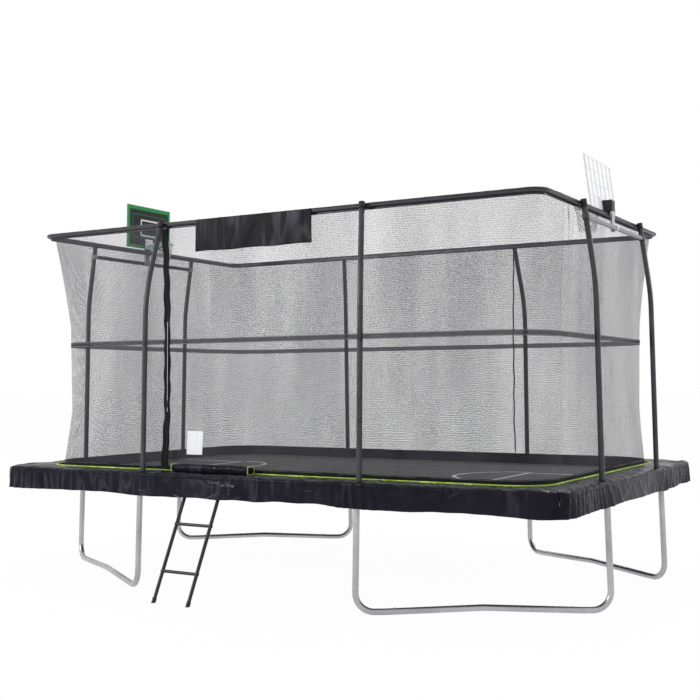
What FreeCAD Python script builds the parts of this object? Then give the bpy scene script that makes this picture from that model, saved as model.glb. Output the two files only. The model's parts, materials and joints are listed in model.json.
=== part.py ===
import FreeCAD, Part
import math
import os

# Rectangular trampoline with a net enclosure, two hoops, a banner and a hook-on ladder.
# Millimetres, Z up, X along the long side, -Y towards the entrance side.

# Rail frame
frameLength = 4572.0
frameWidth = 2984.0
frameTube = 50.0
frameWall = 2.0
frameCornerRadius = 200.0
railHeight = 785.0

# Tees that join rail, leg and pole
stationLong = 912.0
stationShort = 650.0
teeLength = 130.0
teeWall = 4.0
teeClearance = 0.3
spigotClearance = 0.25
spigotLength = 120.0
spigotWall = 2.5
screwShank = 2.4
screwHole = 2.6
screwHead = 5.0
screwHeadHeight = 3.0
teeScrewOffset = 48.0

# Legs
legTube = 42.0
legWall = 2.0
legOffset = 28.0
legSplay = 2.0
legBendRadius = 120.0
legFlat = 0.5
legContactEnd = 190.0
legSeam = 285.0
legKinkHeight = 22.0
legKinkRadius = 350.0
legEaseRadius = 400.0
legSwage = 60.0
swageLap = 0.2

# Enclosure poles
poleTube = 38.0
poleWall = 1.5
poleTopHeight = 2685.0
poleLean = 1.2
poleSeamHeight = 1760.0
poleBendHeight = 2150.0
poleBendRadius = 450.0
poleTopInsetLong = 141.0
poleTopInsetShort = 106.0
poleTopShiftLong = 51.0
poleSwage = 90.0

# Top ring and pole caps
ringTube = 28.0
ringWall = 1.5
ringHeight = 2672.0
ringCornerRadius = 105.0
ringPoleGap = 5.0
capWall = 2.5
capDepth = 34.0
capTop = 6.0
saddleWidth = 30.0
saddleWall = 2.5
saddleRise = 8.0
saddleInner = 13.9
partGap = 0.3

# Net enclosure
netThickness = 1.0
netGap = 0.4
netWaistHeight = 1600.0
netWaistX = 2062.0
netWaistY = 1235.0
netWaistRadius = 450.0
netTopDrop = 16.0
netTopRadius = 170.0
netBottomRadius = 300.0
netBottomInset = 8.0
hemHeight = 88.0
hemThickness = 1.6
strapHeight = 1800.0
strapWidth = 38.0
sleeveThickness = 1.5
sleeveLap = 12.0

# Entrance strip with its zip, and the card beside it
stripCentre = -872.0
stripWidth = 46.0
stripWave = 5.0
stripWaves = 9
stripThickness = 3.0
stripEndGap = 2.0
stripPadGap = 10.0
zipBottom = 1280.0
zipTop = 1950.0
sliderLength = 34.0
sliderWidth = 16.0
sliderThickness = 7.0
pullLength = 48.0
pullWidth = 10.0
pullThickness = 2.5
sliderGap = 0.4
cardCentre = -598.0
cardWidth = 143.0
cardBottom = 968.0
cardTop = 1139.0
cardThickness = 1.2
cardMargin = 6.0

# Jumping mat, its webbing, rings and springs
springGap = 155.0
matHeight = 790.0
matThickness = 2.0
matCornerRadius = 250.0
webbingWidth = 45.0
webbingThickness = 2.0
ringWire = 4.0
ringReach = 26.0
ringWidth = 34.0
springBody = 20.0
springBodyLength = 88.0
springWire = 3.6
springPitch = 132.0
springEndMargin = 300.0
springHole = 8.0
hookDrop = 9.0

# Frame pad, skirt and piping
padThickness = 20.0
padLift = 0.7
padOverhang = 31.0
padCornerRadius = 165.0
padInnerGap = 6.0
padInnerRadius = 250.0
padCrown = 9.0
padCrownInset = 28.0
padPoleHole = 3.0
skirtThickness = 2.0
skirtDrop = 150.0
pipingRadius = 5.0

# Step pad at the entrance
stepCentre = -376.0
stepLength = 704.0
stepDepth = 76.0
stepHeight = 54.0
stepCrown = 8.0

# Banner on the front top tube
bannerCentre = -52.0
bannerWidth = 1006.0
bannerDrop = 236.0
bannerFolds = 11
bannerFoldDepth = 9.0
bannerThickness = 1.5

# Crossbars, posts, brackets, backboards and hoops
crossbarTube = 32.0
crossbarWall = 1.5
crossbarHeight = 2575.0
clampWall = 5.0
clampHeight = 36.0
clampGap = 4.0
clampSpigot = 40.0
postWidth = 60.0
postDepth = 14.0
postWall = 1.5
postTop = 2775.0
postBottom = 2552.0
strapBandWidth = 30.0
strapBandWall = 3.0
bracketWidth = 90.0
bracketTop = 2793.0
bracketBottom = 2689.0
bracketWall = 3.0
bracketShelf = 6.0
boardWidth = 568.0
boardHeight = 378.0
boardPanel = 3.0
boardRib = 9.0
boardRibWall = 3.0
boardRim = 12.0
boardSeat = 12.0
boardColumns = 6
boardRows = 4
boardBottom = 2702.0
boardBackRight = 2092.0
boardBackLeft = 2139.0
boardLeanRight = 7.5
boardLeanLeft = 1.0
rimRadius = 88.0
rimWire = 10.0
rimHeight = 2738.0
rimCentre = 1965.0
rimPlate = 4.0
rimPlateLow = 8.0
rimPlateHigh = 84.0
rimArm = 36.0
rimArmThickness = 7.0
hoopNetLength = 165.0
hoopNetBottomRadius = 60.0
hoopNetThickness = 2.0
hoopNetColumns = 12
hoopNetRows = 4

# Ladder
ladderCentre = -340.0
ladderWidth = 295.0
ladderTube = 25.0
ladderWall = 1.5
ladderLean = 26.0
ladderRung = 22.0
ladderRungs = (201.0, 507.0)
ladderStartY = 13.0
ladderStartDrop = 38.0
hookWidth = 24.0
hookWall = 4.0
hookGap = 0.5
hookInner = 58.0
hookOuter = 150.0
footRadius = 15.0
footLength = 36.0
footSole = 8.0
hookPlugStart = 14.0
hookPlugLength = 60.0
skirtFlare = 18.0
skirtFlareInner = 230.0
skirtFlareOuter = 380.0

# Sizes that follow
railX = frameLength / 2 - frameTube / 2
railY = frameWidth / 2 - frameTube / 2
teeRadius = frameTube / 2 + teeClearance + teeWall
matX = railX - frameTube / 2 - springGap
matY = railY - frameTube / 2 - springGap
padOuterX = railX + frameTube / 2 + padOverhang
padOuterY = railY + frameTube / 2 + padOverhang
padInnerX = matX + padInnerGap
padInnerY = matY + padInnerGap
padBottom = railHeight + teeRadius + padLift
padTop = padBottom + padThickness
poleTopY = railY - poleTopInsetLong
poleTopX = railX - poleTopInsetShort
ringOffset = poleTube / 2 + ringTube / 2 + ringPoleGap
ringX = poleTopX - ringOffset
ringY = poleTopY - ringOffset
sleeveOuter = ringTube / 2 + netGap
netTop = ringHeight - netTopDrop
sleeveBottom = ringHeight - netTopDrop - sleeveLap
netTopInset = sleeveOuter + sleeveThickness + netGap + netThickness
netTopX = ringX - netTopInset
netTopY = ringY - netTopInset
matTop = matHeight + matThickness
springHeight = matHeight - webbingThickness - ringWire / 2 - partGap
netBottom = matTop + netGap
netBottomX = matX - netBottomInset
netBottomY = matY - netBottomInset
up = FreeCAD.Vector(0, 0, 1)
footReach = (railHeight - ladderStartDrop) * math.tan(math.radians(ladderLean))
ladderFootY = railY + ladderStartY + footReach
footSide = footRadius / math.cos(math.radians(ladderLean))
frontReach = ladderFootY + footSide
legSplayReach = (railHeight - legTube / 2 + legFlat) * math.tan(math.radians(legSplay))
backReach = railY + legOffset + legSplayReach + legTube / 2
centreShift = (frontReach - backReach) / 2


def vec(x, y, z):
    return FreeCAD.Vector(x, y, z)


def save(name, shape):
    # The origin is on the ground in the middle of the footprint, ladder included.
    placed = shape.copy()
    placed.translate(vec(0, centreShift, 0))
    placed.exportStep("parts/" + name + ".step")
    print(name, "solids", len(placed.Solids), "valid", placed.isValid(), "volume", round(placed.Volume))


def group(solids):
    return Part.makeCompound([s for shape in solids for s in shape.Solids])


def rod(start, end, radius):
    return Part.makeCylinder(radius, (end - start).Length, start, end - start)


def pipe(start, end, radius, wall):
    return rod(start, end, radius).cut(rod(start, end, radius - wall))


def roundedPath(points, radii):
    edges = []
    start = points[0]
    for i in range(1, len(points) - 1):
        before = (points[i - 1] - points[i]).normalize()
        after = (points[i + 1] - points[i]).normalize()
        half = before.getAngle(after) / 2
        cut = radii[i - 1] / math.tan(half)
        centre = points[i] + (before + after).normalize() * (radii[i - 1] / math.sin(half))
        middle = centre + (points[i] - centre).normalize() * radii[i - 1]
        first = points[i] + before * cut
        last = points[i] + after * cut
        edges.append(Part.LineSegment(start, first).toShape())
        edges.append(Part.Arc(first, middle, last).toShape())
        start = last
    edges.append(Part.LineSegment(start, points[-1]).toShape())
    return Part.Wire(edges)


def sweep(points, radii, radius):
    path = roundedPath(points, radii)
    circle = Part.Wire([Part.makeCircle(radius, points[0], points[1] - points[0])])
    return path.makePipeShell([circle], True, False)


def bentTube(points, radii, radius, wall):
    return sweep(points, radii, radius).cut(sweep(points, radii, radius - wall))


def roundedRectangle(halfX, halfY, radius, z):
    # Corner arcs between straight sides, starting on the front side.
    edges = []
    corners = [(1, -1, -90), (1, 1, 0), (-1, 1, 90), (-1, -1, 180)]
    last = None
    first = None
    for sx, sy, angle in corners:
        cx = sx * (halfX - radius)
        cy = sy * (halfY - radius)
        pts = []
        for turn in (0, 45, 90):
            a = math.radians(angle + turn)
            pts.append(vec(cx + radius * math.cos(a), cy + radius * math.sin(a), z))
        if last is not None:
            edges.append(Part.LineSegment(last, pts[0]).toShape())
        else:
            first = pts[0]
        edges.append(Part.Arc(pts[0], pts[1], pts[2]).toShape())
        last = pts[2]
    edges.append(Part.LineSegment(last, first).toShape())
    return Part.Wire(edges)


def plate(halfX, halfY, radius, z, height):
    return Part.Face(roundedRectangle(halfX, halfY, radius, z)).extrude(vec(0, 0, height))


def band(halfX, halfY, radius, z, height, wall):
    inner = plate(halfX - wall, halfY - wall, max(radius - wall, 1.0), z - 1, height + 2)
    return plate(halfX, halfY, radius, z, height).cut(inner)


def sideWedge(side, z, height):
    # The share of the plan that belongs to one side, cut along the corner bisectors.
    reach = frameLength
    inner = padOuterX - padOuterY
    if side in ("front", "back"):
        s = -1 if side == "front" else 1
        tip = vec(inner, 0, z)
        points = [vec(-inner, 0, z), tip, vec(inner + reach, s * reach, z), vec(-inner - reach, s * reach, z)]
    else:
        s = 1 if side == "right" else -1
        points = [vec(s * inner, 0, z), vec(s * (inner + reach), reach, z), vec(s * (inner + reach), -reach, z)]
    points.append(points[0])
    return Part.Face(Part.makePolygon(points)).extrude(vec(0, 0, height))


def prism(points, direction):
    return Part.Face(Part.makePolygon(list(points) + [points[0]])).extrude(direction)


def stations():
    # Each pole and leg stands at a tee: plan point, outward direction, direction to the side's centre, side.
    result = []
    for side, sign in (("front", -1), ("back", 1)):
        for s in (-1, 1):
            result.append((vec(s * stationLong, sign * railY, 0), vec(0, sign, 0), vec(-s, 0, 0), side))
    for side, sign in (("left", -1), ("right", 1)):
        for s in (-1, 1):
            result.append((vec(sign * railX, s * stationShort, 0), vec(sign, 0, 0), vec(0, -s, 0), side))
    return result


def polePoints(plan, outward, toCentre, side):
    longSide = side in ("front", "back")
    inset = poleTopInsetLong if longSide else poleTopInsetShort
    shift = poleTopShiftLong if longSide else 0.0
    lean = (poleBendHeight - padBottom) * math.tan(math.radians(poleLean))
    foot = plan + up * padBottom
    bend = plan - outward * lean + up * poleBendHeight
    top = plan - outward * inset + toCentre * shift + up * poleTopHeight
    return foot, bend, top


def legDirection(outward):
    return (up * math.cos(math.radians(legSplay)) - outward * math.sin(math.radians(legSplay))).normalize()


def legFoot(plan, outward):
    centreline = legTube / 2 - legFlat
    reach = (railHeight - centreline) * math.tan(math.radians(legSplay))
    return plan + outward * (legOffset + reach) + up * centreline


def screw(point, direction, length):
    head = Part.makeCylinder(screwHead, screwHeadHeight, point, direction * -1)
    shank = Part.makeCylinder(screwShank, length, point, direction)
    return head.fuse(shank)


def rotated(shape, angle, x, y, z):
    copy = shape.copy()
    copy.rotate(vec(0, 0, 0), up, angle)
    copy.translate(vec(x, y, z))
    return copy


def makeTees():
    tees = []
    for plan, outward, toCentre, side in stations():
        along = vec(abs(outward.y), abs(outward.x), 0)
        centre = plan + up * railHeight
        start = centre - along * (teeLength / 2)
        body = Part.makeCylinder(teeRadius, teeLength, start, along)
        foot, bend, top = polePoints(plan, outward, toCentre, side)
        poleAxis = (bend - foot).normalize()
        poleSpigot = poleTube / 2 - poleWall - spigotClearance
        root = foot - poleAxis * teeWall
        body = body.fuse(pipe(root, foot + poleAxis * spigotLength, poleSpigot, spigotWall))
        legAxis = legDirection(outward)
        legSpigot = legTube / 2 - legWall - spigotClearance
        socket = plan + outward * legOffset + up * railHeight
        body = body.fuse(pipe(socket, socket - legAxis * (spigotLength + teeRadius), legSpigot, spigotWall))
        body = body.cut(Part.makeCylinder(frameTube / 2 + teeClearance, teeLength, start, along))
        for s in (-1, 1):
            at = centre + along * (s * teeScrewOffset) - up * (teeRadius + 1)
            body = body.cut(Part.makeCylinder(screwHole, teeWall * 3, at, up))
        tees.append(drillForSprings(body).removeSplitter())
    return group(tees)


def teeScrews():
    screws = []
    for plan, outward, toCentre, side in stations():
        along = vec(abs(outward.y), abs(outward.x), 0)
        for s in (-1, 1):
            at = plan + up * (railHeight - teeRadius) + along * (s * teeScrewOffset)
            screws.append(screw(at, up, teeWall + teeClearance + frameWall + 2))
    return group(screws)


def drillRail(tube):
    for plan, outward, toCentre, side in stations():
        along = vec(abs(outward.y), abs(outward.x), 0)
        for s in (-1, 1):
            at = plan + up * (railHeight - frameTube) + along * (s * teeScrewOffset)
            hole = Part.makeCylinder(screwHole, frameTube, at, up)
            if hole.BoundBox.intersect(tube.BoundBox):
                tube = tube.cut(hole)
    return tube


def springSpots(span):
    # Even places along one straight side of the mat.
    run = 2 * (span - springEndMargin)
    count = int(run / springPitch) + 1
    pitch = run / (count - 1)
    return [-run / 2 + i * pitch for i in range(count)]


def springHoles():
    # Cylinders through the inner wall of rail and tee, one for each spring hook.
    holes = []
    start = teeRadius + 1
    for sign in (-1, 1):
        for x in springSpots(matX):
            at = vec(x, sign * (railY - start), railHeight)
            holes.append(Part.makeCylinder(springHole / 2, start, at, vec(0, sign, 0)))
        for y in springSpots(matY):
            at = vec(sign * (railX - start), y, railHeight)
            holes.append(Part.makeCylinder(springHole / 2, start, at, vec(sign, 0, 0)))
    return holes


def drillForSprings(shape):
    near = [h for h in springHoles() if h.BoundBox.intersect(shape.BoundBox)]
    return shape.cut(near) if near else shape


def makeRails():
    rails = {}
    r = frameTube / 2
    for name, sign in (("front", -1), ("back", 1)):
        ends = [vec(s * stationLong, sign * railY, railHeight) for s in (-1, 1)]
        rails[name] = drillForSprings(drillRail(pipe(ends[0], ends[1], r, frameWall)))
    for name, sign in (("left", -1), ("right", 1)):
        ends = [vec(sign * railX, s * stationShort, railHeight) for s in (-1, 1)]
        rails[name] = drillForSprings(drillRail(pipe(ends[0], ends[1], r, frameWall)))
    corners = []
    for sx in (-1, 1):
        for sy in (-1, 1):
            points = [vec(sx * stationLong, sy * railY, railHeight), vec(sx * railX, sy * railY, railHeight),
                      vec(sx * railX, sy * stationShort, railHeight)]
            corners.append(drillForSprings(drillRail(bentTube(points, [frameCornerRadius], r, frameWall))))
    rails["corners"] = group(corners)
    return rails


def legPair(sx, sy):
    return [s for s in stations() if s[0].x * sx > 0 and s[0].y * sy > 0]


def makeLegs():
    tubes = {}
    bars = []
    screws = []
    radius = legTube / 2
    inner = radius - legWall
    names = {(-1, -1): "front_left", (1, -1): "front_right", (-1, 1): "back_left", (1, 1): "back_right"}
    for (sx, sy), name in names.items():
        pair = legPair(sx, sy)
        feet = [legFoot(plan, outward) for plan, outward, toCentre, side in pair]
        middle = (feet[0] + feet[1]) * 0.5 + up * (legKinkHeight)
        made = []
        seams = []
        for i in (0, 1):
            plan, outward, toCentre, side = pair[i]
            foot = feet[i]
            across = (feet[1 - i] - foot).normalize()
            contact = foot + across * legContactEnd
            rise = (middle - contact).normalize()
            seam = contact + rise * (legSeam - legContactEnd)
            seams.append((seam, rise))
            top = plan + outward * legOffset + up * railHeight - legDirection(outward) * (teeRadius + 1.0)
            points = [top, foot, contact, seam]
            tube = bentTube(points, [legBendRadius, legEaseRadius], radius, legWall)
            ground = Part.makeBox(800, 800, radius, vec(foot.x - 400, foot.y - 400, -radius))
            tube = tube.cut(ground)
            at = seam - rise * (legSwage / 2)
            hole = Part.makeCylinder(screwHole, radius, vec(at.x, at.y, at.z + 2), up)
            made.append(tube.cut(hole))
            head = vec(at.x, at.y, at.z + radius + partGap)
            screws.append((head, hole))
        start, end = seams[0][0], seams[1][0]
        bar = bentTube([start, middle, end], [legKinkRadius], radius, legWall)
        for seam, rise in seams:
            swage = pipe(seam - rise * legSwage, seam + rise * legSwage, inner - spigotClearance, legWall)
            collar = pipe(seam, seam + rise * legSwage, inner + swageLap, legWall)
            bar = bar.fuse(swage).fuse(collar)
        for head, hole in screws[-2:]:
            bar = bar.cut(hole)
        tubes[name] = group(made)
        bars.append(bar)
    heads = [screw(head, up * -1, legWall * 2 + spigotClearance + 3) for head, hole in screws]
    return tubes, group(bars), group(heads)


def makePoles():
    lower = []
    upperLong = []
    upperShort = []
    radius = poleTube / 2
    for plan, outward, toCentre, side in stations():
        foot, bend, top = polePoints(plan, outward, toCentre, side)
        axis = (bend - foot).normalize()
        seam = foot + axis * ((poleSeamHeight - padBottom) / axis.z)
        lower.append(pipe(foot, seam, radius, poleWall))
        upper = bentTube([seam, bend, top], [poleBendRadius], radius, poleWall)
        ends = [seam - axis * poleSwage, seam + axis * poleSwage]
        swage = pipe(ends[0], ends[1], radius - poleWall - spigotClearance, poleWall)
        collar = pipe(seam, ends[1], radius - poleWall + swageLap, poleWall)
        upper = upper.fuse(swage).fuse(collar)
        if side in ("front", "back"):
            upperLong.append(upper)
        else:
            upperShort.append(upper)
    return group(lower), group(upperLong), group(upperShort)


def makeCaps():
    # A cup over the pole end, with a saddle that holds the ring from below and outside.
    caps = []
    radius = poleTube / 2
    reach = 4 * ringTube
    for plan, outward, toCentre, side in stations():
        foot, bend, top = polePoints(plan, outward, toCentre, side)
        axis = (top - bend).normalize()
        cup = rod(top - axis * capDepth, top + axis * capTop, radius + partGap + capWall)
        bore = rod(top - axis * (capDepth + 1), top + axis * 0.2, radius + partGap)
        along = vec(abs(outward.y), abs(outward.x), 0)
        if outward.y != 0:
            ringPoint = vec(top.x, outward.y * ringY, ringHeight)
        else:
            ringPoint = vec(outward.x * ringX, top.y, ringHeight)
        start = ringPoint - along * (saddleWidth / 2)
        saddle = Part.makeCylinder(ringTube / 2 + partGap + saddleWall, saddleWidth, start, along)
        # The saddle keeps clear of the cloth over and inside the ring
        inside = start - outward * reach - up * reach
        over = start - outward * reach + up * saddleRise
        for corner, width, height in ((inside, reach - saddleInner, 2 * reach), (over, 2 * reach, reach)):
            far = corner + outward * width
            section = [corner, far, far + up * height, corner + up * height]
            saddle = saddle.cut(prism(section, along * saddleWidth))
        back = rod(ringPoint, ringPoint + outward * (ringOffset - 2), saddleWidth / 4)
        body = cup.fuse(saddle).fuse(back)
        body = body.cut(Part.makeCylinder(ringTube / 2 + partGap, saddleWidth, start, along)).cut(bore)
        caps.append(sorted(body.Solids, key=lambda s: s.Volume)[-1])
    return group(caps)


def makeRing():
    r = ringTube / 2
    endX = ringX - ringCornerRadius
    endY = ringY - ringCornerRadius
    longTubes = []
    shortTubes = []
    corners = []
    for s in (-1, 1):
        longTubes.append(pipe(vec(-endX, s * ringY, ringHeight), vec(endX, s * ringY, ringHeight), r, ringWall))
        shortTubes.append(pipe(vec(s * ringX, -endY, ringHeight), vec(s * ringX, endY, ringHeight), r, ringWall))
    for sx in (-1, 1):
        for sy in (-1, 1):
            bend = Part.makeTorus(ringCornerRadius, r, vec(0, 0, 0), up, 0, 360, 90)
            bore = Part.makeTorus(ringCornerRadius, r - ringWall, vec(0, 0, 0), up, 0, 360, 90)
            bend = bend.cut(bore)
            angle = {(1, 1): 0, (-1, 1): 90, (-1, -1): 180, (1, -1): 270}[(sx, sy)]
            corners.append(rotated(bend, angle, sx * endX, sy * endY, ringHeight))
    return group(longTubes), group(shortTubes), group(corners)


def netHalf(z):
    # Half length, half width and corner radius of the net's outline: it is drawn in between ring and mat.
    if z > netWaistHeight:
        t = (z - netWaistHeight) / (netTop - netWaistHeight)
        end = (netTopX, netTopY, netTopRadius)
    else:
        t = (netWaistHeight - z) / (netWaistHeight - netBottom)
        end = (netBottomX, netBottomY, netBottomRadius)
    waist = (netWaistX, netWaistY, netWaistRadius)
    return [waist[0] + (end[0] - waist[0]) * t * t, waist[1] + (end[1] - waist[1]) * t * t,
            waist[2] + (end[2] - waist[2]) * t]


def netLevels():
    levels = [netBottom, netBottom + hemHeight, cardBottom - cardMargin, cardTop + cardMargin, zipBottom, zipTop]
    upper = 3
    for i in range(1, upper):
        levels.append(zipTop + (netTop - zipTop) * i / upper)
    levels.append(netTop)
    return levels


def netOutline(z):
    # The net runs straight between its levels.
    levels = netLevels()
    for low, high in zip(levels[:-1], levels[1:]):
        if z <= high or high == levels[-1]:
            t = (z - low) / (high - low)
            a = netHalf(low)
            b = netHalf(high)
            return [a[k] + (b[k] - a[k]) * t for k in range(3)]
    return netHalf(netTop)


def netShell(offset, wall, bottom, top):
    # A thin closed wall that follows the net, moved outwards by the offset.
    levels = [bottom] + [z for z in netLevels() if bottom < z < top] + [top]
    parts = []
    for low, high in zip(levels[:-1], levels[1:]):
        outer = []
        inner = []
        for z in (low, high):
            x, y, r = netOutline(z)
            outer.append(roundedRectangle(x + offset + wall, y + offset + wall, r + offset + wall, z))
            inner.append(roundedRectangle(x + offset, y + offset, r + offset, z))
        solid = Part.makeLoft(outer, True, True).cut(Part.makeLoft(inner, True, True))
        parts.append(solid)
    result = parts[0]
    for part in parts[1:]:
        result = result.fuse(part)
    return result


def makeNets():
    # The straight panels end where the corner arcs begin, at the widest arc.
    shell = netShell(0, netThickness, netBottom, netTop)
    cutX = min(netHalf(z)[0] - netHalf(z)[2] for z in netLevels())
    cutY = min(netHalf(z)[1] - netHalf(z)[2] for z in netLevels())
    far = frameLength
    low = netBottom - 10
    tall = netTop - netBottom + 20
    panels = {}
    panels["front"] = shell.common(Part.makeBox(2 * cutX, far, tall, vec(-cutX, -far, low)))
    panels["back"] = shell.common(Part.makeBox(2 * cutX, far, tall, vec(-cutX, 0, low)))
    panels["left"] = shell.common(Part.makeBox(far, 2 * cutY, tall, vec(-far, -cutY, low)))
    panels["right"] = shell.common(Part.makeBox(far, 2 * cutY, tall, vec(0, -cutY, low)))
    corners = []
    for sx in (-1, 1):
        for sy in (-1, 1):
            at = vec(cutX if sx > 0 else -cutX - far, cutY if sy > 0 else -cutY - far, low)
            corners.append(shell.common(Part.makeBox(far, far, tall, at)))
    panels["corners"] = group(corners)
    return panels


def makeSleeve():
    # Black cloth that lies over the ring and carries the net's top edge.
    top = ringHeight + ringTube / 2 + netGap
    x = ringX - sleeveOuter
    y = ringY - sleeveOuter
    radius = ringCornerRadius - sleeveOuter
    wall = band(x, y, radius, sleeveBottom, top - sleeveBottom + sleeveThickness, sleeveThickness)
    reach = ringTube + 2 * netGap
    flange = band(x + reach, y + reach, radius + reach, top, sleeveThickness, reach + sleeveThickness)
    return wall.fuse(flange)


def frontY(z):
    return -netOutline(z)[1] - netThickness


def makeStrip():
    # A wavy flap beside the zip, laid on the net.
    bottom = padTop + padCrown + stripPadGap
    top = sleeveBottom - stripEndGap
    heights = [bottom] + [z for z in netLevels() if bottom < z < top] + [top]
    near = [vec(0, frontY(z) - netGap - strapLayer(), z) for z in heights]
    far = [vec(0, p.y - stripThickness, p.z) for p in near]
    slab = prism(near + far[::-1], vec(stripWidth + 4 * stripWave, 0, 0))
    slab.translate(vec(stripCentre - stripWidth / 2 - 2 * stripWave, 0, 0))
    left = []
    step = (top - bottom) / (2 * stripWaves)
    for i in range(2 * stripWaves + 1):
        swing = stripWave if i % 2 else -stripWave
        left.append(vec(stripCentre - stripWidth / 2 + swing, 0, bottom + i * step))
    right = [p + vec(stripWidth, 0, 0) for p in left]
    edges = [Part.LineSegment(left[0], right[0]).toShape()]
    for i in range(0, 2 * stripWaves, 2):
        edges.append(Part.Arc(right[i], right[i + 1], right[i + 2]).toShape())
    edges.append(Part.LineSegment(right[-1], left[-1]).toShape())
    for i in range(2 * stripWaves, 0, -2):
        edges.append(Part.Arc(left[i], left[i - 1], left[i - 2]).toShape())
    outline = Part.Face(Part.Wire(edges))
    block = outline.extrude(vec(0, -2 * frameWidth, 0))
    return slab.common(block)


def strapLayer():
    return hemThickness + netGap


def zipAxis():
    low = vec(0, frontY(zipBottom), zipBottom)
    high = vec(0, frontY(zipTop), zipTop)
    return (high - low).normalize()


def makeSlider():
    # Zip slider with a hanging pull, on the flap's right half.
    axis = zipAxis()
    outward = vec(0, -axis.z, axis.y)
    face = vec(stripCentre + stripWidth / 4, frontY(zipBottom), zipBottom)
    face = face + outward * (netGap + strapLayer() + stripThickness + sliderGap) + axis * (pullLength + 12)
    side = vec(1, 0, 0)

    def block(centre, width, thickness, length):
        a = centre - side * (width / 2)
        b = centre + side * (width / 2)
        return prism([a, b, b + outward * thickness, a + outward * thickness], axis * length)

    body = block(face, sliderWidth, sliderThickness, sliderLength)
    front = face + outward * sliderThickness
    post = block(front + axis * (sliderLength / 3), sliderWidth / 2, pullThickness, pullWidth)
    pull = block(front - axis * (pullLength - sliderLength / 2), pullWidth, pullThickness, pullLength)
    return body.fuse(post).fuse(pull).removeSplitter()


def makeCard():
    # Blank card tied flat on the net.
    low = vec(0, frontY(cardBottom) - netGap, cardBottom)
    high = vec(0, frontY(cardTop) - netGap, cardTop)
    axis = (high - low).normalize()
    outward = vec(0, -axis.z, axis.y)
    start = low - vec(cardWidth / 2 - cardCentre, 0, 0)
    side = vec(cardWidth, 0, 0)
    points = [start, start + side, start + side + outward * cardThickness, start + outward * cardThickness]
    return prism(points, high - low)


def makeMat():
    return plate(matX, matY, matCornerRadius, matHeight, matThickness)


def makeWebbing():
    return band(matX, matY, matCornerRadius, matHeight - webbingThickness, webbingThickness, webbingWidth)


def ringShape():
    # Flat wire triangle, pointing out along +Y from the mat's edge.
    half = ringWidth / 2
    w = ringWire / 2
    tip = ringReach
    points = [vec(0, -w, 0), vec(half, -w, 0), vec(3, tip, 0), vec(-3, tip, 0), vec(-half, -w, 0), vec(0, -w, 0)]
    return sweep(points, [ringWire, ringWire, ringWire, ringWire], w)


def springShape():
    # Hollow coil body with an end bar and a hook wire at each end, along +Y from the ring to the rail.
    start = ringReach - ringWire * 1.5 - springWire
    end = springGap + frameWall + 6
    free = (springGap - ringReach - springBodyLength) / 2 + ringReach
    last = free + springBodyLength
    wire = springWire / 2
    thick = springWire + 1
    body = pipe(vec(0, free, 0), vec(0, last, 0), springBody / 2, springWire)
    z = ringWire / 2 + wire + partGap
    for y in (free, last - thick):
        body = body.fuse(Part.makeBox(thick, thick, springBody - springWire, vec(-thick / 2, y, wire - springBody / 2)))
    inner = sweep([vec(0, free + wire, z), vec(0, start, z), vec(0, start, z - hookDrop)], [springWire], wire)
    outer = rod(vec(0, last - wire, 0), vec(0, end, 0), wire)
    return body.fuse(inner).fuse(outer)


def makeSprings():
    rings = []
    longSprings = []
    shortSprings = []
    oneRing = ringShape()
    oneSpring = springShape()
    for x in springSpots(matX):
        for angle, sign in ((0, 1), (180, -1)):
            rings.append(rotated(oneRing, angle, x, sign * matY, springHeight))
            longSprings.append(rotated(oneSpring, angle, x, sign * matY, springHeight))
    for y in springSpots(matY):
        for angle, sign in ((-90, 1), (90, -1)):
            rings.append(rotated(oneRing, angle, sign * matX, y, springHeight))
            shortSprings.append(rotated(oneSpring, angle, sign * matX, y, springHeight))
    return group(rings), group(longSprings), group(shortSprings)


def padBody():
    # Flat foam with a crowned top: a lower slab and a smaller one lofted on it.
    lower = plate(padOuterX, padOuterY, padCornerRadius, padBottom, padThickness)
    base = roundedRectangle(padOuterX, padOuterY, padCornerRadius, padTop)
    crown = padCrownInset
    top = roundedRectangle(padOuterX - crown, padOuterY - crown, padCornerRadius - crown, padTop + padCrown)
    body = lower.fuse(Part.makeLoft([base, top], True, True))
    body = body.cut(plate(padInnerX, padInnerY, padInnerRadius, padBottom - 1, padThickness + padCrown + 2))
    for plan, outward, toCentre, side in stations():
        foot, bend, top = polePoints(plan, outward, toCentre, side)
        axis = (bend - foot).normalize()
        body = body.cut(rod(foot - axis * 20, foot + axis * 80, poleTube / 2 + padPoleHole))
    return body


def makePads():
    body = padBody()
    pads = {}
    for side in ("front", "back", "left", "right"):
        pads[side] = body.common(sideWedge(side, padBottom - 5, padThickness + padCrown + 10))
    return pads


def skirtBand():
    # The skirt hangs inside the pad's outer edge, flush with it.
    low = padTop - skirtDrop
    return band(padOuterX, padOuterY, padCornerRadius, low, padBottom - low, skirtThickness)


def makeSkirts():
    ring = skirtBand()
    low = padTop - skirtDrop
    sides = []
    for side in ("back", "left", "right"):
        sides.append(ring.common(sideWedge(side, low - 5, skirtDrop + 10)))
    front = ring.common(sideWedge("front", low - 5, skirtDrop + 10))
    left = ladderCentre - skirtFlareOuter
    width = 2 * skirtFlareOuter
    front = front.cut(Part.makeBox(width, 40, skirtDrop + 10, vec(left, -padOuterY - 20, low - 5)))
    y = -padOuterY
    sections = []
    for x, flare in ((-skirtFlareOuter, 0), (-skirtFlareInner, skirtFlare), (skirtFlareInner, skirtFlare),
                     (skirtFlareOuter, 0)):
        at = ladderCentre + x
        points = [vec(at, y, padBottom), vec(at, y - flare, low), vec(at, y - flare + skirtThickness, low),
                  vec(at, y + skirtThickness, padBottom)]
        sections.append(Part.makePolygon(points + [points[0]]))
    front = front.fuse(Part.makeLoft(sections, True, True))
    return front, group(sides)


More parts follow.
